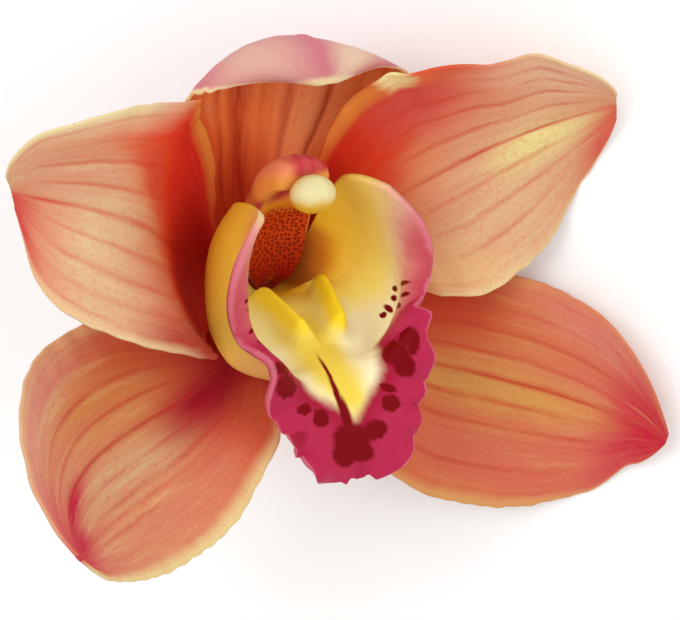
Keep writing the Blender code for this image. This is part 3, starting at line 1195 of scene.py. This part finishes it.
    def build(self, maker: Maker) -> list[bpy.types.Object]:
        """Builds and dresses the lip.

        Args:
            maker: what places the piece.

        Returns:
            The one piece.
        """
        sheet, share, v = Blade(self.rows, self.columns).grid()
        u = self.start + (self.end - self.start) * (0.6 * share + 0.4 * np.sin(pi / 2 * share))
        girth, _, across = self.shares(u, v)
        place = np.stack([u * self.arch.length, np.sign(v) * girth * across, v], -1)
        thing = maker.piece("lip", sheet, self.points(u, v), place)
        raised = self.keels(u, v)
        held = thing.data.attributes.new(RAISED, "FLOAT", "POINT")
        held.data.foreach_set("value", raised.astype(np.float32))
        for face in (Face.FRONT, Face.BACK):
            thing.data.materials.append(self.finish.material(face))
        total = self.thick + self.keel_height
        maker.thicken(thing, total, 1, raised, self.thick / total)
        return [thing]


@dataclass(frozen=True)
class Ball:
    """A round body of rings that the column, the pollen masses and the pedicel are drawn from."""

    around: int
    rings: int

    def body(self) -> tuple[bmesh.types.BMesh, Array, Array]:
        """Makes the ball.

        Returns:
            The ball, each point's ring from 0 at one pole, and its angle round the ball.
        """
        ball = bmesh.new()
        bmesh.ops.create_uvsphere(ball, u_segments=self.around, v_segments=self.rings, radius=1)
        places = np.array([vert.co[:] for vert in ball.verts])
        ring = np.rint(np.arccos(np.clip(places[:, 2], -1, 1)) / pi * self.rings)
        return ball, ring, np.arctan2(places[:, 1], places[:, 0])


def face_out(thing: bpy.types.Object) -> None:
    """Turns the faces of a closed piece outwards.

    Args:
        thing: the piece.
    """
    body = bmesh.new()
    body.from_mesh(thing.data)
    bmesh.ops.recalc_face_normals(body, faces=body.faces[:])
    body.to_mesh(thing.data)
    body.free()


@dataclass(frozen=True)
class ColumnFinish:
    """The skin of the column: gold sides, a dotted brown-red under face and a flushed back."""

    side: Colour = paint(226, 146, 66)
    back: Colour = paint(228, 136, 96)
    magenta: Colour = paint(184, 24, 60)
    panel: Colour = paint(198, 66, 14)
    # deep paints the shade at the foot of the under face, and ochre paints the highlight along its edge
    # below the cap
    deep: Colour = paint(158, 30, 12)
    ochre: Colour = paint(216, 132, 34)
    dot: Colour = paint(104, 14, 8)
    blushes: tuple[Patch, ...] = (
        Patch(at=(0.73, -1.0), size=(0.06, 2.2), colour=paint(176, 26, 60), amount=0.9),
        Patch(at=(0.70, -5.2), size=(0.06, 0.8), colour=paint(176, 30, 50), amount=0.9))

    def material(self) -> bpy.types.Material:
        """Makes the material.

        Returns:
            The material.
        """
        shader = Shader("column_skin")
        s, x, n = shader.split(shader.place())
        flat = shader.join(s * 29.0, x)
        cloud = shader.grain(flat, 0.3, 3.0) - 0.5
        colour = shader.mix((n + cloud).step(0.2, 2.6), self.side, self.back)
        stripes = (x * 3.0 + s * 16.0 + cloud * 3.0).wave().step(-0.6, 0.6)
        hood = (s + cloud * 0.06).step(0.82, 0.94) * n.step(0.3, 1.5) * (x + cloud).step(-3.0, -1.2)
        fill = (s + cloud * 0.06).step(0.88, 0.98) * 0.75
        colour = shader.mix(hood * (stripes * 0.55 + 0.3).most(fill), colour, self.magenta)
        under = n.step(-0.12, -0.60) * (abs(x) + cloud).step(5.6, 4.8)
        height = s + cloud * 0.05
        # The under face is painted darker towards the column's base as shade, and ochre just below the cap
        # as a painted highlight where its edge catches light
        stops = (
            (0.15, self.deep), (0.40, self.panel), (0.54, self.panel),
            (0.62, self.ochre), (0.70, self.side))
        colour = shader.mix(under, colour, shader.ramp(height, stops))
        colour = shader.flushed(colour, shader.join(s, x), self.blushes)
        settings = {"feature": "F1", "voronoi_dimensions": "2D"}
        sockets = {"Vector": flat, "Scale": 1.3, "Randomness": 0.62}
        dots = shader.node("ShaderNodeTexVoronoi", settings, sockets)
        dotted = dots.step(0.26, 0.42, 1.0, 0.0) * under * height.step(0.62, 0.56)
        colour = shader.mix(dotted * 0.75, colour, self.dot)
        cells = shader.grain(flat, 7.0, 2.0)
        return shader.finish(colour, cells * 0.2 + 0.36, shader.bump(cells, 0.0001, 0.5), FLESH)


@dataclass
class Column:
    """The arched column, with a rounded back and a hollowed under face.

    half, back and wing are its half width, the height of its back and the depth of its two lower
    edges at the midline's stations, in millimetres.
    """

    finish: ColumnFinish
    arch: Arch = Arch(
        base=(2.5, -0.1),
        length=29.0,
        stations=(0, 0.12, 0.25, 0.5, 0.75, 1),
        heading=(5, 35, 60, 46, 22, -22),
        steps=200)
    half: tuple[float, ...] = (2.0, 3.8, 5.2, 6.0, 6.0, 4.6)
    back: tuple[float, ...] = (1.9, 2.6, 3.0, 3.8, 4.4, 3.4)
    wing: tuple[float, ...] = (1.5, 2.0, 2.4, 2.6, 2.4, 1.6)
    round_end: float = 0.05
    rear_point: float = -0.15
    front_point: float = 0.3
    rings: int = 120
    around: int = 128

    def build(self, maker: Maker) -> list[bpy.types.Object]:
        """Builds and dresses the column.

        Args:
            maker: what places the piece.

        Returns:
            The one piece.
        """
        ball, ring, angle = Ball(self.around, self.rings).body()
        s = np.clip((ring - 1) / (self.rings - 2), 0, 1)
        rows = (self.half, self.back, self.wing)
        half, back, wing = (along_piece(self.arch.stations, row, s) for row in rows)
        ends = np.minimum(s, 1 - s) / self.round_end
        rounded = 0.80 + 0.20 * np.sqrt(1 - (1 - np.clip(ends, 0, 1)) ** 2)
        close = np.where((ring == 0) | (ring == self.rings), 0, rounded)
        across = np.cos(angle)
        under = wing * np.sqrt(np.clip(1 - across**6, 0, 1)) * (0.25 + 0.75 * across**2)
        x = half * close * across
        n = close * np.where(angle >= 0, back * np.sin(angle), -under)
        ahead = np.where(ring == 0, self.rear_point, np.where(ring == self.rings, self.front_point, 0))
        thing = maker.piece("column", ball, self.arch.place(s, x, n, ahead), np.stack([s, x, n], -1))
        face_out(thing)
        thing.data.materials.append(self.finish.material())
        return [thing]


@dataclass(frozen=True)
class PlainFinish:
    """A waxy skin of two mixed tones, for the small pieces."""

    name: str
    light: Colour
    dark: Colour
    scale: float = 400.0
    rough: float = 0.4
    front: Colour | None = None

    def material(self) -> bpy.types.Material:
        """Makes the material.

        Returns:
            The material.
        """
        shader = Shader(self.name)
        here = shader.node("ShaderNodeTexCoord", {}, {}, "Object")
        cloud = shader.grain(here, self.scale, 3.0)
        cells = shader.grain(here, self.scale * 9, 2.0)
        colour = shader.mix(cloud.step(0.35, 0.7), self.light, self.dark)
        if self.front is not None:
            depth, _, _ = shader.split(shader.place())
            colour = shader.mix(depth.step(0.13, 0.09), colour, self.front)
        rough = cells * 0.2 + self.rough - 0.1
        return shader.finish(colour, rough, shader.bump(cells, 0.0001, 0.5), FLESH)


@dataclass(frozen=True)
class CapFinish:
    """The waxy cream skin of the anther cap, with a yellow lower edge that is painted shade."""

    cream: Colour = paint(222, 211, 154)
    yellow: Colour = paint(216, 168, 34)

    def material(self) -> bpy.types.Material:
        """Makes the material.

        Returns:
            The material.
        """
        shader = Shader("anther_cap_skin")
        x, y, z = shader.split(shader.place())
        cloud = shader.grain(shader.place(), 1.4, 3.0) - 0.5
        # Yellow on the lower side is painted shade under the dome; the back turns yellower too
        low = (y + cloud * 0.3).step(0.25, -0.55)
        colour = shader.mix(low.most(z.step(0.2, -0.3) * 0.6), self.cream, self.yellow)
        colour = shader.mix((cloud + 0.5).step(0.50, 0.75, 0.0, 0.3), colour, paint(238, 226, 150))
        cells = shader.grain(shader.place(), 30.0, 2.0)
        waxy = {**FLESH, **SHINE}
        return shader.finish(colour, cells * 0.2 + 0.3, shader.bump(cells, 0.0001, 0.4), waxy)


@dataclass
class Cap:
    """The anther cap and the pollen masses that it covers."""

    skin: CapFinish
    pollen: PlainFinish
    centre: Triple = (0.0, 11.9, 26.7)
    radii: Triple = (3.75, 3.05, 3.5)
    around: int = 72
    rings: int = 48
    heading: float = -22
    opening: float = -1.3
    thick: float = 0.8
    groove: float = 0.03
    groove_width: float = 0.12
    pollen_radii: Triple = (1.0, 1.35, 1.6)
    waist: float = 0.28
    apart: float = 1.15
    ahead: float = 0.35

    def turn(self) -> Array:
        """Works out how the cap's own axes, with z along its heading, lie in the bloom's frame.

        Returns:
            The turn from the cap's axes to the bloom's.
        """
        forward = Vector((0, sin(radians(self.heading)), cos(radians(self.heading))))
        side = Vector((1, 0, 0))
        return np.array(Matrix((side, forward.cross(side), forward)).transposed())

    def build_cap(self, maker: Maker) -> bpy.types.Object:
        """Builds and dresses the domed cap, open at the back.

        Args:
            maker: what places the piece.

        Returns:
            The piece.
        """
        body = bmesh.new()
        bmesh.ops.create_uvsphere(body, u_segments=self.around, v_segments=self.rings, radius=1)
        low = self.opening / self.radii[2]
        everything = body.verts[:] + body.edges[:] + body.faces[:]
        bmesh.ops.bisect_plane(
            body, geom=everything, dist=ON_CUT, plane_co=(0, 0, low), plane_no=(0, 0, 1), clear_inner=True)
        places = np.array([vert.co[:] for vert in body.verts])
        groove = self.groove * np.exp(-((places[:, 0] / self.groove_width) ** 2))
        shrink = 1 - groove * eased(places[:, 2], -0.2, 0.6)
        points = (places * self.radii * shrink[:, None]) @ self.turn().T + self.centre
        thing = maker.piece("anther_cap", body, points, places)
        thing.data.materials.append(self.skin.material())
        solid = thing.modifiers.new("thickness", "SOLIDIFY")
        solid.thickness = self.thick * MM
        solid.offset = -1
        return thing

    def build_pollen(self, maker: Maker) -> bpy.types.Object:
        """Builds and dresses the two pollen masses.

        Args:
            maker: what places the piece.

        Returns:
            The piece.
        """
        ball, _, _ = Ball(around=40, rings=30).body()
        places = np.array([vert.co[:] for vert in ball.verts])
        side = np.sign(np.round(places[:, 0], 4))
        waist = 1 - self.waist * np.exp(-((places[:, 0] / 0.28) ** 2))
        x = places[:, 0] * self.pollen_radii[0] + side * self.apart * np.abs(places[:, 0]) ** 0.6
        y = places[:, 1] * self.pollen_radii[1] * waist
        z = places[:, 2] * self.pollen_radii[2] * waist + self.ahead
        points = np.stack([x, y, z], -1) @ self.turn().T + self.centre
        thing = maker.piece("pollinarium", ball, points, places)
        face_out(thing)
        thing.data.materials.append(self.pollen.material())
        return thing

    def build(self, maker: Maker) -> list[bpy.types.Object]:
        """Builds the cap, then the pollen masses."""
        return [self.build_cap(maker), self.build_pollen(maker)]


@dataclass
class Pedicel:
    """The receptacle, the ribbed ovary and the curved stalk with its flat cut end."""

    finish: PlainFinish
    receptacle: float = 2.3
    front: float = 2.0
    ovary: float = 2.9
    stalk: float = 1.9
    rib: float = 0.32
    end: Triple = (-8.0, 14.0, -28.0)
    stations: tuple[float, ...] = (0, 0.05, 0.12, 0.30, 0.58, 0.72, 1)
    rings: int = 150
    around: int = 96

    def build(self, maker: Maker) -> list[bpy.types.Object]:
        """Builds and dresses the pedicel.

        Args:
            maker: what places the piece.

        Returns:
            The one piece.
        """
        ball, ring, angle = Ball(self.around, self.rings).body()
        depth = np.clip((ring - 1) / (self.rings - 2), 0, 1)
        radii = (
            self.receptacle * 0.9, self.receptacle, self.receptacle,
            self.ovary, self.ovary * 0.92, self.stalk, self.stalk)
        radius = along_piece(self.stations, radii, depth)
        ribbed = np.exp(-(((depth - 0.38) / 0.2) ** 2))
        radius = radius + self.rib * ribbed * (np.cos(3 * angle) + 0.5 * np.cos(6 * angle))
        radius = np.where((ring == 0) | (ring == self.rings), 0, radius)
        fall = self.front - self.end[2]
        centre = np.stack([self.end[0] * depth**2, self.end[1] * depth**2, self.front - fall * depth], -1)
        along = np.stack([2 * self.end[0] * depth, 2 * self.end[1] * depth, -fall + 0 * depth], -1)
        along /= np.linalg.norm(along, axis=-1, keepdims=True)
        side = np.cross(along, (0, 1, 0))
        side /= np.linalg.norm(side, axis=-1, keepdims=True)
        up = np.cross(side, along)
        points = centre + radius[:, None] * (np.cos(angle)[:, None] * side + np.sin(angle)[:, None] * up)
        place = np.stack([depth, np.cos(angle), np.sin(angle)], -1)
        thing = maker.piece("pedicel", ball, points, place)
        face_out(thing)
        thing.data.materials.append(self.finish.material())
        return [thing]


@dataclass(frozen=True)
class Lamp:
    """A square soft lamp that shines at the bloom: its place and size in metres, and its watts."""

    name: str
    at: Triple
    size: float
    power: float


@dataclass
class Studio:
    """The pale table, the soft lights and the camera, whose place is in millimetres."""

    eye: Triple = (88.78, 88.219, 414.446)
    right: Triple = (0.97268, 0.00002, -0.23192)
    up: Triple = (-0.05180, 0.97466, -0.21740)
    back: Triple = (0.22604, 0.22350, 0.94819)
    lens: float = 133.4
    sensor: float = 36
    nearest: float = 0.01
    sky: float = 0.82
    lamps: tuple[Lamp, ...] = (
        Lamp("key", (-0.25, 0.35, 0.75), 0.5, 2.35),
        Lamp("fill", (0.6, 0.05, 0.5), 0.5, 1.3))
    table: float = 2.0

    def build_floor(self) -> bpy.types.Object:
        """Builds the table top.

        Returns:
            The table top.
        """
        top = bmesh.new()
        bmesh.ops.create_grid(top, x_segments=4, y_segments=4, size=self.table)
        mesh = bpy.data.meshes.new("table_top")
        top.to_mesh(mesh)
        top.free()
        thing = bpy.data.objects.new("table_top", mesh)
        bpy.context.scene.collection.objects.link(thing)
        shader = Shader("table_top")
        here = shader.node("ShaderNodeTexCoord", {}, {}, "Object")
        cloud = shader.grain(here, 3.0, 3.0)
        colour = shader.mix(cloud, paint(250, 250, 249), paint(247, 247, 246))
        mesh.materials.append(shader.finish(colour, 0.7, None, {"Specular IOR Level": 0.1}))
        return thing

    def build_lights(self) -> None:
        """Sets up the pale sky and the soft lamps."""
        world = bpy.data.worlds.new("sky")
        world.use_nodes = True
        sky = world.node_tree.nodes["Background"]
        sky.inputs["Color"].default_value = (1, 1, 1, 1)
        sky.inputs["Strength"].default_value = self.sky
        bpy.context.scene.world = world
        for lamp in self.lamps:
            light = bpy.data.lights.new(lamp.name, "AREA")
            light.energy = lamp.power
            light.size = lamp.size
            holder = bpy.data.objects.new(lamp.name, light)
            holder.location = lamp.at
            holder.rotation_euler = (-Vector(lamp.at)).to_track_quat("-Z", "Y").to_euler()
            bpy.context.scene.collection.objects.link(holder)

    def build_camera(self) -> None:
        """Sets up the camera at the picture's angle."""
        camera = bpy.data.cameras.new("camera")
        camera.lens = self.lens
        camera.sensor_width = self.sensor
        camera.clip_start = self.nearest
        holder = bpy.data.objects.new("camera", camera)
        turn = Matrix((self.right, self.up, self.back)).transposed().to_4x4()
        holder.matrix_world = Matrix.Translation(Vector(self.eye) * MM) @ turn
        bpy.context.scene.collection.objects.link(holder)
        bpy.context.scene.camera = holder
        bpy.context.scene.view_settings.view_transform = "Standard"


# The crimson marks on the lip, each as millimetres along and across, half length, half width, turn in
# degrees, amount, and how much of it is soft
LIP_MARKS = tuple(
    Patch(at=(along, across), size=(length, width), turn=turn, amount=amount, soft=soft)
    for along, across, length, width, turn, amount, soft in (
        (25.0, -1.7, 3.6, 0.30, -4, 1.0, 0.5),
        (28.6, -2.0, 3.4, 0.50, -2, 1.0, 0.4),
        (31.8, -1.6, 3.4, 0.90, 4, 1.0, 0.35),
        (35.71, -1.40, 3.68, 2.69, -104, 1.0, 0.2),
        (37.51, -3.06, 2.62, 1.85, -103, 1.0, 0.2),
        (37.75, 0.19, 2.45, 1.51, -107, 1.0, 0.2),
        (35.01, 3.01, 2.16, 1.52, 85, 1.0, 0.2),
        (26.25, -13.20, 2.60, 0.76, 85, 1.0, 0.25),
        (25.20, -15.50, 1.90, 0.45, 86, 1.0, 0.25),
        (29.32, -8.77, 1.41, 0.83, -93, 1.0, 0.2),
        (31.21, -6.10, 1.52, 1.34, -83, 1.0, 0.2),
        (24.83, 14.82, 1.98, 0.56, 99, 1.0, 0.2),
        (25.51, 11.26, 2.19, 1.17, -87, 1.0, 0.2),
        (26.92, 11.11, 1.76, 1.07, -72, 1.0, 0.2),
        (25.44, 14.73, 2.18, 0.48, 116, 1.0, 0.2),
        (29.44, 7.06, 1.44, 0.63, -118, 1.0, 0.2),
        (31.64, 6.64, 1.58, 1.32, -87, 1.0, 0.2),
        (33.29, -10.43, 1.13, 0.86, -86, 0.5, 0.6),
        (18.13, 25.46, 1.30, 0.60, -149, 1.0, 0.25),
        (14.19, 20.35, 1.60, 0.45, -128, 1.0, 0.25),
        (19.82, 23.01, 0.70, 0.55, 87, 1.0, 0.25),
        (14.72, 18.75, 1.40, 0.48, -128, 1.0, 0.25),
        (20.06, 20.46, 0.87, 0.50, 138, 1.0, 0.25),
        (14.93, 16.31, 1.50, 0.55, -140, 1.0, 0.25),
        (15.08, 14.61, 0.88, 0.50, -108, 1.0, 0.25),
        (18.25, -30.69, 0.44, 0.22, 76, 1.0, 0.25),
        (18.59, -28.48, 0.55, 0.26, 98, 1.0, 0.25),
        (20.30, -23.90, 0.60, 0.24, 71, 1.0, 0.25),
        (21.54, -20.29, 0.90, 0.50, 48, 1.0, 0.25),
    ))

# How each sepal and petal is coloured. Its front is read from its base at 0 to its tip at 1, and from one
# margin at -1 to the other at 1
FINISHES = {
    "dorsal_sepal": TepalFinish(
        name="dorsal_sepal",
        flesh=(
            (0.0, paint(176, 30, 18)), (0.25, paint(224, 86, 38)), (0.42, paint(238, 124, 58)),
            (0.7, paint(242, 146, 86)), (1.0, paint(232, 170, 120))),
        flushes=(
            # Two paler orange flushes: partly the sepal's own paler orange, partly painted light that
            # lifts the shade under the hood
            Patch(at=(0.58, -0.80), size=(0.26, 0.34), colour=paint(244, 168, 100), amount=0.8),
            Patch(at=(0.50, -0.30), size=(0.18, 0.22), colour=paint(254, 172, 112), amount=0.9),
            Patch(at=(0.30, 0.85), size=(0.25, 0.25), colour=paint(200, 60, 30), amount=0.8)),
        veins=(
            Vein(0.56, 0.06, 0.15, 0.8, 0.8), Vein(0.33, 0.19, 0.1, 0.85, 1.0),
            Vein(-0.12, 0.07, 0.2, 0.9, 0.6), Vein(-0.42, 0.07, 0.2, 0.8, 0.8),
            Vein(0.10, 0.05, 0.2, 0.7, 0.3)),
        vein=paint(176, 34, 20),
        streak=paint(216, 84, 44),
        streak_amount=0.4,
        margins=(0.7, 0.7),
        margin_width=0.07,
        fine_amount=0.16,
        back=paint(194, 118, 132),
        back_amount=0.88,
        back_flushes=(
            Patch(at=(0.86, 0.62), size=(0.10, 0.34), colour=paint(216, 178, 158), amount=0.75),
            Patch(at=(0.90, -0.46), size=(0.09, 0.28), colour=paint(222, 196, 168), amount=0.9),
            Patch(at=(0.82, 0.04), size=(0.14, 0.10), colour=paint(204, 108, 130), amount=0.5)),
        seed=1.0),
    "left_petal": TepalFinish(
        name="left_petal",
        flesh=(
            (0.0, paint(204, 36, 26)), (0.28, paint(220, 52, 32)), (0.40, paint(220, 70, 36)),
            (0.48, paint(218, 98, 58)), (0.56, paint(214, 138, 98)), (0.66, paint(212, 164, 126)),
            (0.80, paint(214, 178, 138)), (0.92, paint(212, 142, 110)), (1.0, paint(204, 70, 68))),
        skew=(-0.03, 0.43),
        flushes=(
            Patch(at=(0.88, -0.35), size=(0.10, 0.40), colour=paint(206, 142, 112), amount=0.6),
            # A golden-orange strip along the upper margin near the base, painted as a highlight
            Patch(at=(0.42, -0.97), size=(0.18, 0.10), colour=paint(222, 140, 58), amount=0.9),
            # Partly the petal's red flush, partly painted light that lifts the shade in the fold
            Patch(at=(0.24, 0.70), size=(0.18, 0.45), colour=paint(232, 84, 70), amount=0.85),
            Patch(at=(0.49, 0.95), size=(0.15, 0.34), colour=paint(160, 26, 32), amount=1.0, soft=0.5),
            Patch(at=(0.84, -1.02), size=(0.19, 0.24), colour=paint(224, 198, 158), amount=0.9),
            Patch(at=(0.55, 0.45), size=(0.10, 0.40), colour=paint(208, 112, 82), amount=0.5),
            Patch(at=(0.63, -0.36), size=(0.25, 0.06), colour=paint(206, 66, 48), amount=0.8, turn=-69)),
        veins=(
            Vein(0.02, 0.05, 0.48, 1.02, 0.95), Vein(-0.22, 0.05, 0.62, 1.0, 0.6),
            Vein(-0.46, 0.05, 0.62, 1.0, 0.6), Vein(0.25, 0.045, 0.5, 0.95, 0.4),
            Vein(0.48, 0.045, 0.5, 0.95, 0.45), Vein(0.70, 0.045, 0.5, 0.9, 0.35)),
        streak_amount=0.32,
        margins=(0.5, 0.7),
        margin_width=0.11,
        margin_start=(0.50, 0.70),
        back_flushes=(
            Patch(at=(0.38, 0.94), size=(0.19, 0.34), colour=paint(178, 44, 50), amount=0.95, soft=0.5),),
        seed=2.0),
    "right_petal": TepalFinish(
        name="right_petal",
        flesh=(
            (0.0, paint(196, 34, 20)), (0.24, paint(212, 60, 30)), (0.33, paint(211, 80, 50)),
            (0.42, paint(214, 130, 92)), (0.54, paint(210, 150, 112)), (0.70, paint(213, 168, 130)),
            (0.90, paint(210, 152, 114)), (1.0, paint(206, 90, 72))),
        skew=(0.36, -0.08),
        flushes=(
            Patch(at=(0.66, 0.66), size=(0.16, 0.30), colour=paint(210, 118, 94), amount=0.5),
            Patch(at=(0.55, 0.66), size=(0.10, 0.28), colour=paint(204, 76, 70), amount=0.85),
            Patch(at=(0.62, -0.50), size=(0.22, 0.40), colour=paint(216, 180, 140), amount=0.6),
            Patch(at=(0.78, -0.14), size=(0.13, 0.18), colour=paint(226, 216, 142), amount=0.9),
            # A golden-orange strip along the margin near the base, painted as a highlight
            Patch(at=(0.44, 0.96), size=(0.14, 0.10), colour=paint(222, 138, 60), amount=0.9),
            Patch(at=(0.86, 0.80), size=(0.14, 0.26), colour=paint(222, 182, 148), amount=0.9),
            Patch(at=(0.42, -0.85), size=(0.13, 0.32), colour=paint(230, 192, 138), amount=0.8),
            Patch(
                at=(0.555, 1.0), size=(0.035, 0.14), colour=paint(232, 214, 150), amount=1.0, soft=0.5)),
        veins=(
            Vein(0.02, 0.045, 0.42, 1.02, 0.9), Vein(0.24, 0.045, 0.45, 0.97, 0.65),
            Vein(0.44, 0.05, 0.42, 0.97, 0.7), Vein(0.62, 0.05, 0.40, 0.97, 0.65),
            Vein(0.80, 0.05, 0.40, 0.95, 0.55), Vein(-0.22, 0.045, 0.42, 0.9, 0.5),
            Vein(-0.44, 0.045, 0.42, 0.85, 0.4), Vein(-0.66, 0.045, 0.42, 0.85, 0.35)),
        streak_amount=0.30,
        margins=(0.8, 0.5),
        margin_width=0.10,
        margin_start=(0.74, 0.30),
        seed=3.0),
    "left_lateral_sepal": TepalFinish(
        name="left_lateral_sepal",
        flesh=(
            (0.0, paint(150, 22, 28)), (0.22, paint(188, 48, 50)), (0.32, paint(204, 84, 60)),
            (0.45, paint(210, 130, 84)), (0.62, paint(210, 152, 102)), (0.82, paint(210, 136, 106)),
            (0.93, paint(206, 88, 92)), (1.0, paint(196, 42, 70))),
        flushes=(
            Patch(at=(0.52, -0.45), size=(0.16, 0.34), colour=paint(208, 136, 74), amount=0.8),
            Patch(at=(0.74, -0.85), size=(0.22, 0.22), colour=paint(218, 152, 132), amount=0.85),
            Patch(at=(0.38, -0.72), size=(0.14, 0.30), colour=paint(198, 88, 56), amount=0.8),
            Patch(at=(0.60, 0.24), size=(0.18, 0.16), colour=paint(208, 172, 130), amount=0.9),
            Patch(at=(0.48, 0.72), size=(0.20, 0.28), colour=paint(210, 124, 98), amount=0.7),
            Patch(at=(0.30, 0.12), size=(0.13, 0.22), colour=paint(166, 28, 48), amount=1.0),
            Patch(at=(0.26, 0.70), size=(0.08, 0.30), colour=paint(206, 94, 60), amount=0.8),
            Patch(at=(0.83, 0.03), size=(0.08, 0.10), colour=paint(190, 30, 68), amount=1.0),
            Patch(at=(0.93, 0.26), size=(0.07, 0.26), colour=paint(190, 30, 68), amount=1.0)),
        veins=(
            Vein(-0.01, 0.06, 0.25, 0.95, 0.95), Vein(-0.24, 0.045, 0.3, 0.9, 0.6),
            Vein(-0.46, 0.045, 0.35, 0.9, 0.6), Vein(0.18, 0.045, 0.3, 0.9, 0.6),
            Vein(0.36, 0.045, 0.3, 0.9, 0.6), Vein(0.54, 0.045, 0.3, 0.9, 0.5)),
        vein=paint(190, 48, 52),
        streak=paint(208, 106, 90),
        streak_amount=0.5,
        margins=(0.75, 0.35),
        margin_width=0.16,
        margin=paint(226, 214, 152),
        seed=4.0),
    "right_lateral_sepal": TepalFinish(
        name="right_lateral_sepal",
        flesh=(
            (0.0, paint(170, 28, 20)), (0.28, paint(196, 56, 34)), (0.42, paint(208, 112, 68)),
            (0.60, paint(206, 130, 80)), (0.80, paint(206, 114, 88)), (0.91, paint(204, 82, 84)),
            (1.0, paint(192, 34, 62))),
        flushes=(
            Patch(at=(0.42, 0.66), size=(0.16, 0.36), colour=paint(194, 62, 36), amount=0.85),
            Patch(at=(0.78, 0.86), size=(0.16, 0.22), colour=paint(210, 128, 112), amount=0.8),
            Patch(at=(0.58, -0.08), size=(0.26, 0.20), colour=paint(206, 150, 80), amount=0.95),
            Patch(at=(0.60, -0.62), size=(0.22, 0.24), colour=paint(206, 102, 82), amount=0.75),
            Patch(at=(0.97, 0.0), size=(0.10, 0.9), colour=paint(192, 30, 58), amount=1.0)),
        veins=(
            Vein(0.03, 0.05, 0.30, 0.9, 0.9), Vein(0.24, 0.05, 0.3, 0.9, 0.55),
            Vein(0.46, 0.05, 0.3, 0.9, 0.55), Vein(-0.16, 0.045, 0.3, 0.9, 0.65),
            Vein(-0.36, 0.045, 0.3, 0.9, 0.6), Vein(-0.68, 0.045, 0.3, 0.85, 0.5)),
        vein=paint(190, 50, 38),
        streak=paint(206, 98, 74),
        streak_amount=0.5,
        margins=(0.25, 0.6),
        margin_width=0.12,
        margin=paint(214, 170, 104),
        seed=5.0),
}

# Where each sepal and petal starts in millimetres, how it bends in degrees and how wide its sides are
TEPALS = (
    Tepal(
        name="dorsal_sepal",
        finish=FINISHES["dorsal_sepal"],
        base=(0, 3.3, -1.4), clock=(73, 84.5, 86), pitch=(29, 10, -4, 200), roll=(-3.5, -14, -10.5),
        length=56, widths=(20.3, 21.0), claw=0.14, widest=0.59, fall=3.4, point=0.66,
        cups=((30, 77), (20, 15)), thick=1.1, wave=(0.5, 2.5, 0.1), bumps=((0, 0.19, 0.16, 6.5),),
        seed=11),
    Tepal(
        name="left_petal",
        finish=FINISHES["left_petal"],
        base=(-2.8, 0.6, 0.9), clock=(150, 163, 153), pitch=(-17, 75, 92, 18, -46), roll=(-33, 62, -57),
        length=63.3, widths=(21.9, 22.5), claw=0.09, widest=0.52, fall=1.7, point=0.5,
        cups=((60, 28), (48, 24)), thick=1.0, wave=(0.8, 3.2, 0.3),
        bumps=(
            (1, 0.93, 0.04, 1.2), (1, 0.66, 0.12, -1.3), (0, 0.12, 0.08, 11.5), (0, 0.24, 0.08, 2.0)),
        seed=23),
    Tepal(
        name="right_petal",
        finish=FINISHES["right_petal"],
        base=(2.8, 0.6, 0.9), clock=(22, 30, -2), pitch=(12, 64, 42, 19, 25), roll=(-17, 7, 49),
        length=64.5, widths=(22.5, 21.9), claw=0.09, widest=0.52, fall=1.7, point=0.5,
        cups=((39, 26), (36, 2)), thick=1.0, wave=(0.8, 3.2, 0.0),
        bumps=((0, 0.83, 0.035, 1.1), (0, 0.73, 0.05, -1.7), (0, 0.545, 0.025, 0.9)), seed=37),
    Tepal(
        name="left_lateral_sepal",
        finish=FINISHES["left_lateral_sepal"],
        base=(-3.5, -2.8, -1.4), clock=(248, 128, 266), pitch=(39, 12, 0, 38, 57), roll=(28, 38, -50),
        length=72, widths=(21.8, 18.5), claw=0.14, widest=0.515, fall=3.1, point=0.92,
        cups=((25, -6), (10, 1)), thick=1.1, wave=(0.6, 2.6, 0.2), bumps=((0, 0.275, 0.055, 1.6),),
        seed=41),
    Tepal(
        name="right_lateral_sepal",
        finish=FINISHES["right_lateral_sepal"],
        base=(2.25, -1.7, -1.4), clock=(306, 358, 307), pitch=(5, 16, 25, 25, 42), roll=(12, -10, 61),
        length=73.5, widths=(18.5, 21.8), claw=0.14, widest=0.515, fall=3.1, point=0.84,
        cups=((8, 14), (6, -2)), thick=1.1, wave=(0.6, 2.6, 0.6),
        bumps=((1, 0.925, 0.025, -1.6), (1, 0.86, 0.03, 0.5)), seed=53),
)


def main() -> None:
    """Builds the bloom piece by piece, then the studio round it."""
    logging.basicConfig(level=logging.INFO, format="%(message)s")
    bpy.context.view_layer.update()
    maker = Maker()
    pollen = PlainFinish("pollinarium_skin", paint(232, 190, 60), paint(216, 160, 30))
    stalk = PlainFinish(
        "pedicel_skin", paint(168, 168, 84), paint(176, 120, 80), front=paint(150, 40, 16))
    parts: tuple[Tepal | Lip | Column | Cap | Pedicel, ...] = (
        *TEPALS,
        Lip(LipFinish(marks=LIP_MARKS)),
        Column(ColumnFinish()),
        Cap(CapFinish(), pollen),
        Pedicel(stalk),
    )
    for part in parts:
        for thing in part.build(maker):
            LOG.info("%s: %d points", thing.name, len(thing.data.vertices))
    studio = Studio()
    studio.build_floor()
    studio.build_lights()
    studio.build_camera()
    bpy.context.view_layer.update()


if __name__ == "__main__":
    main()
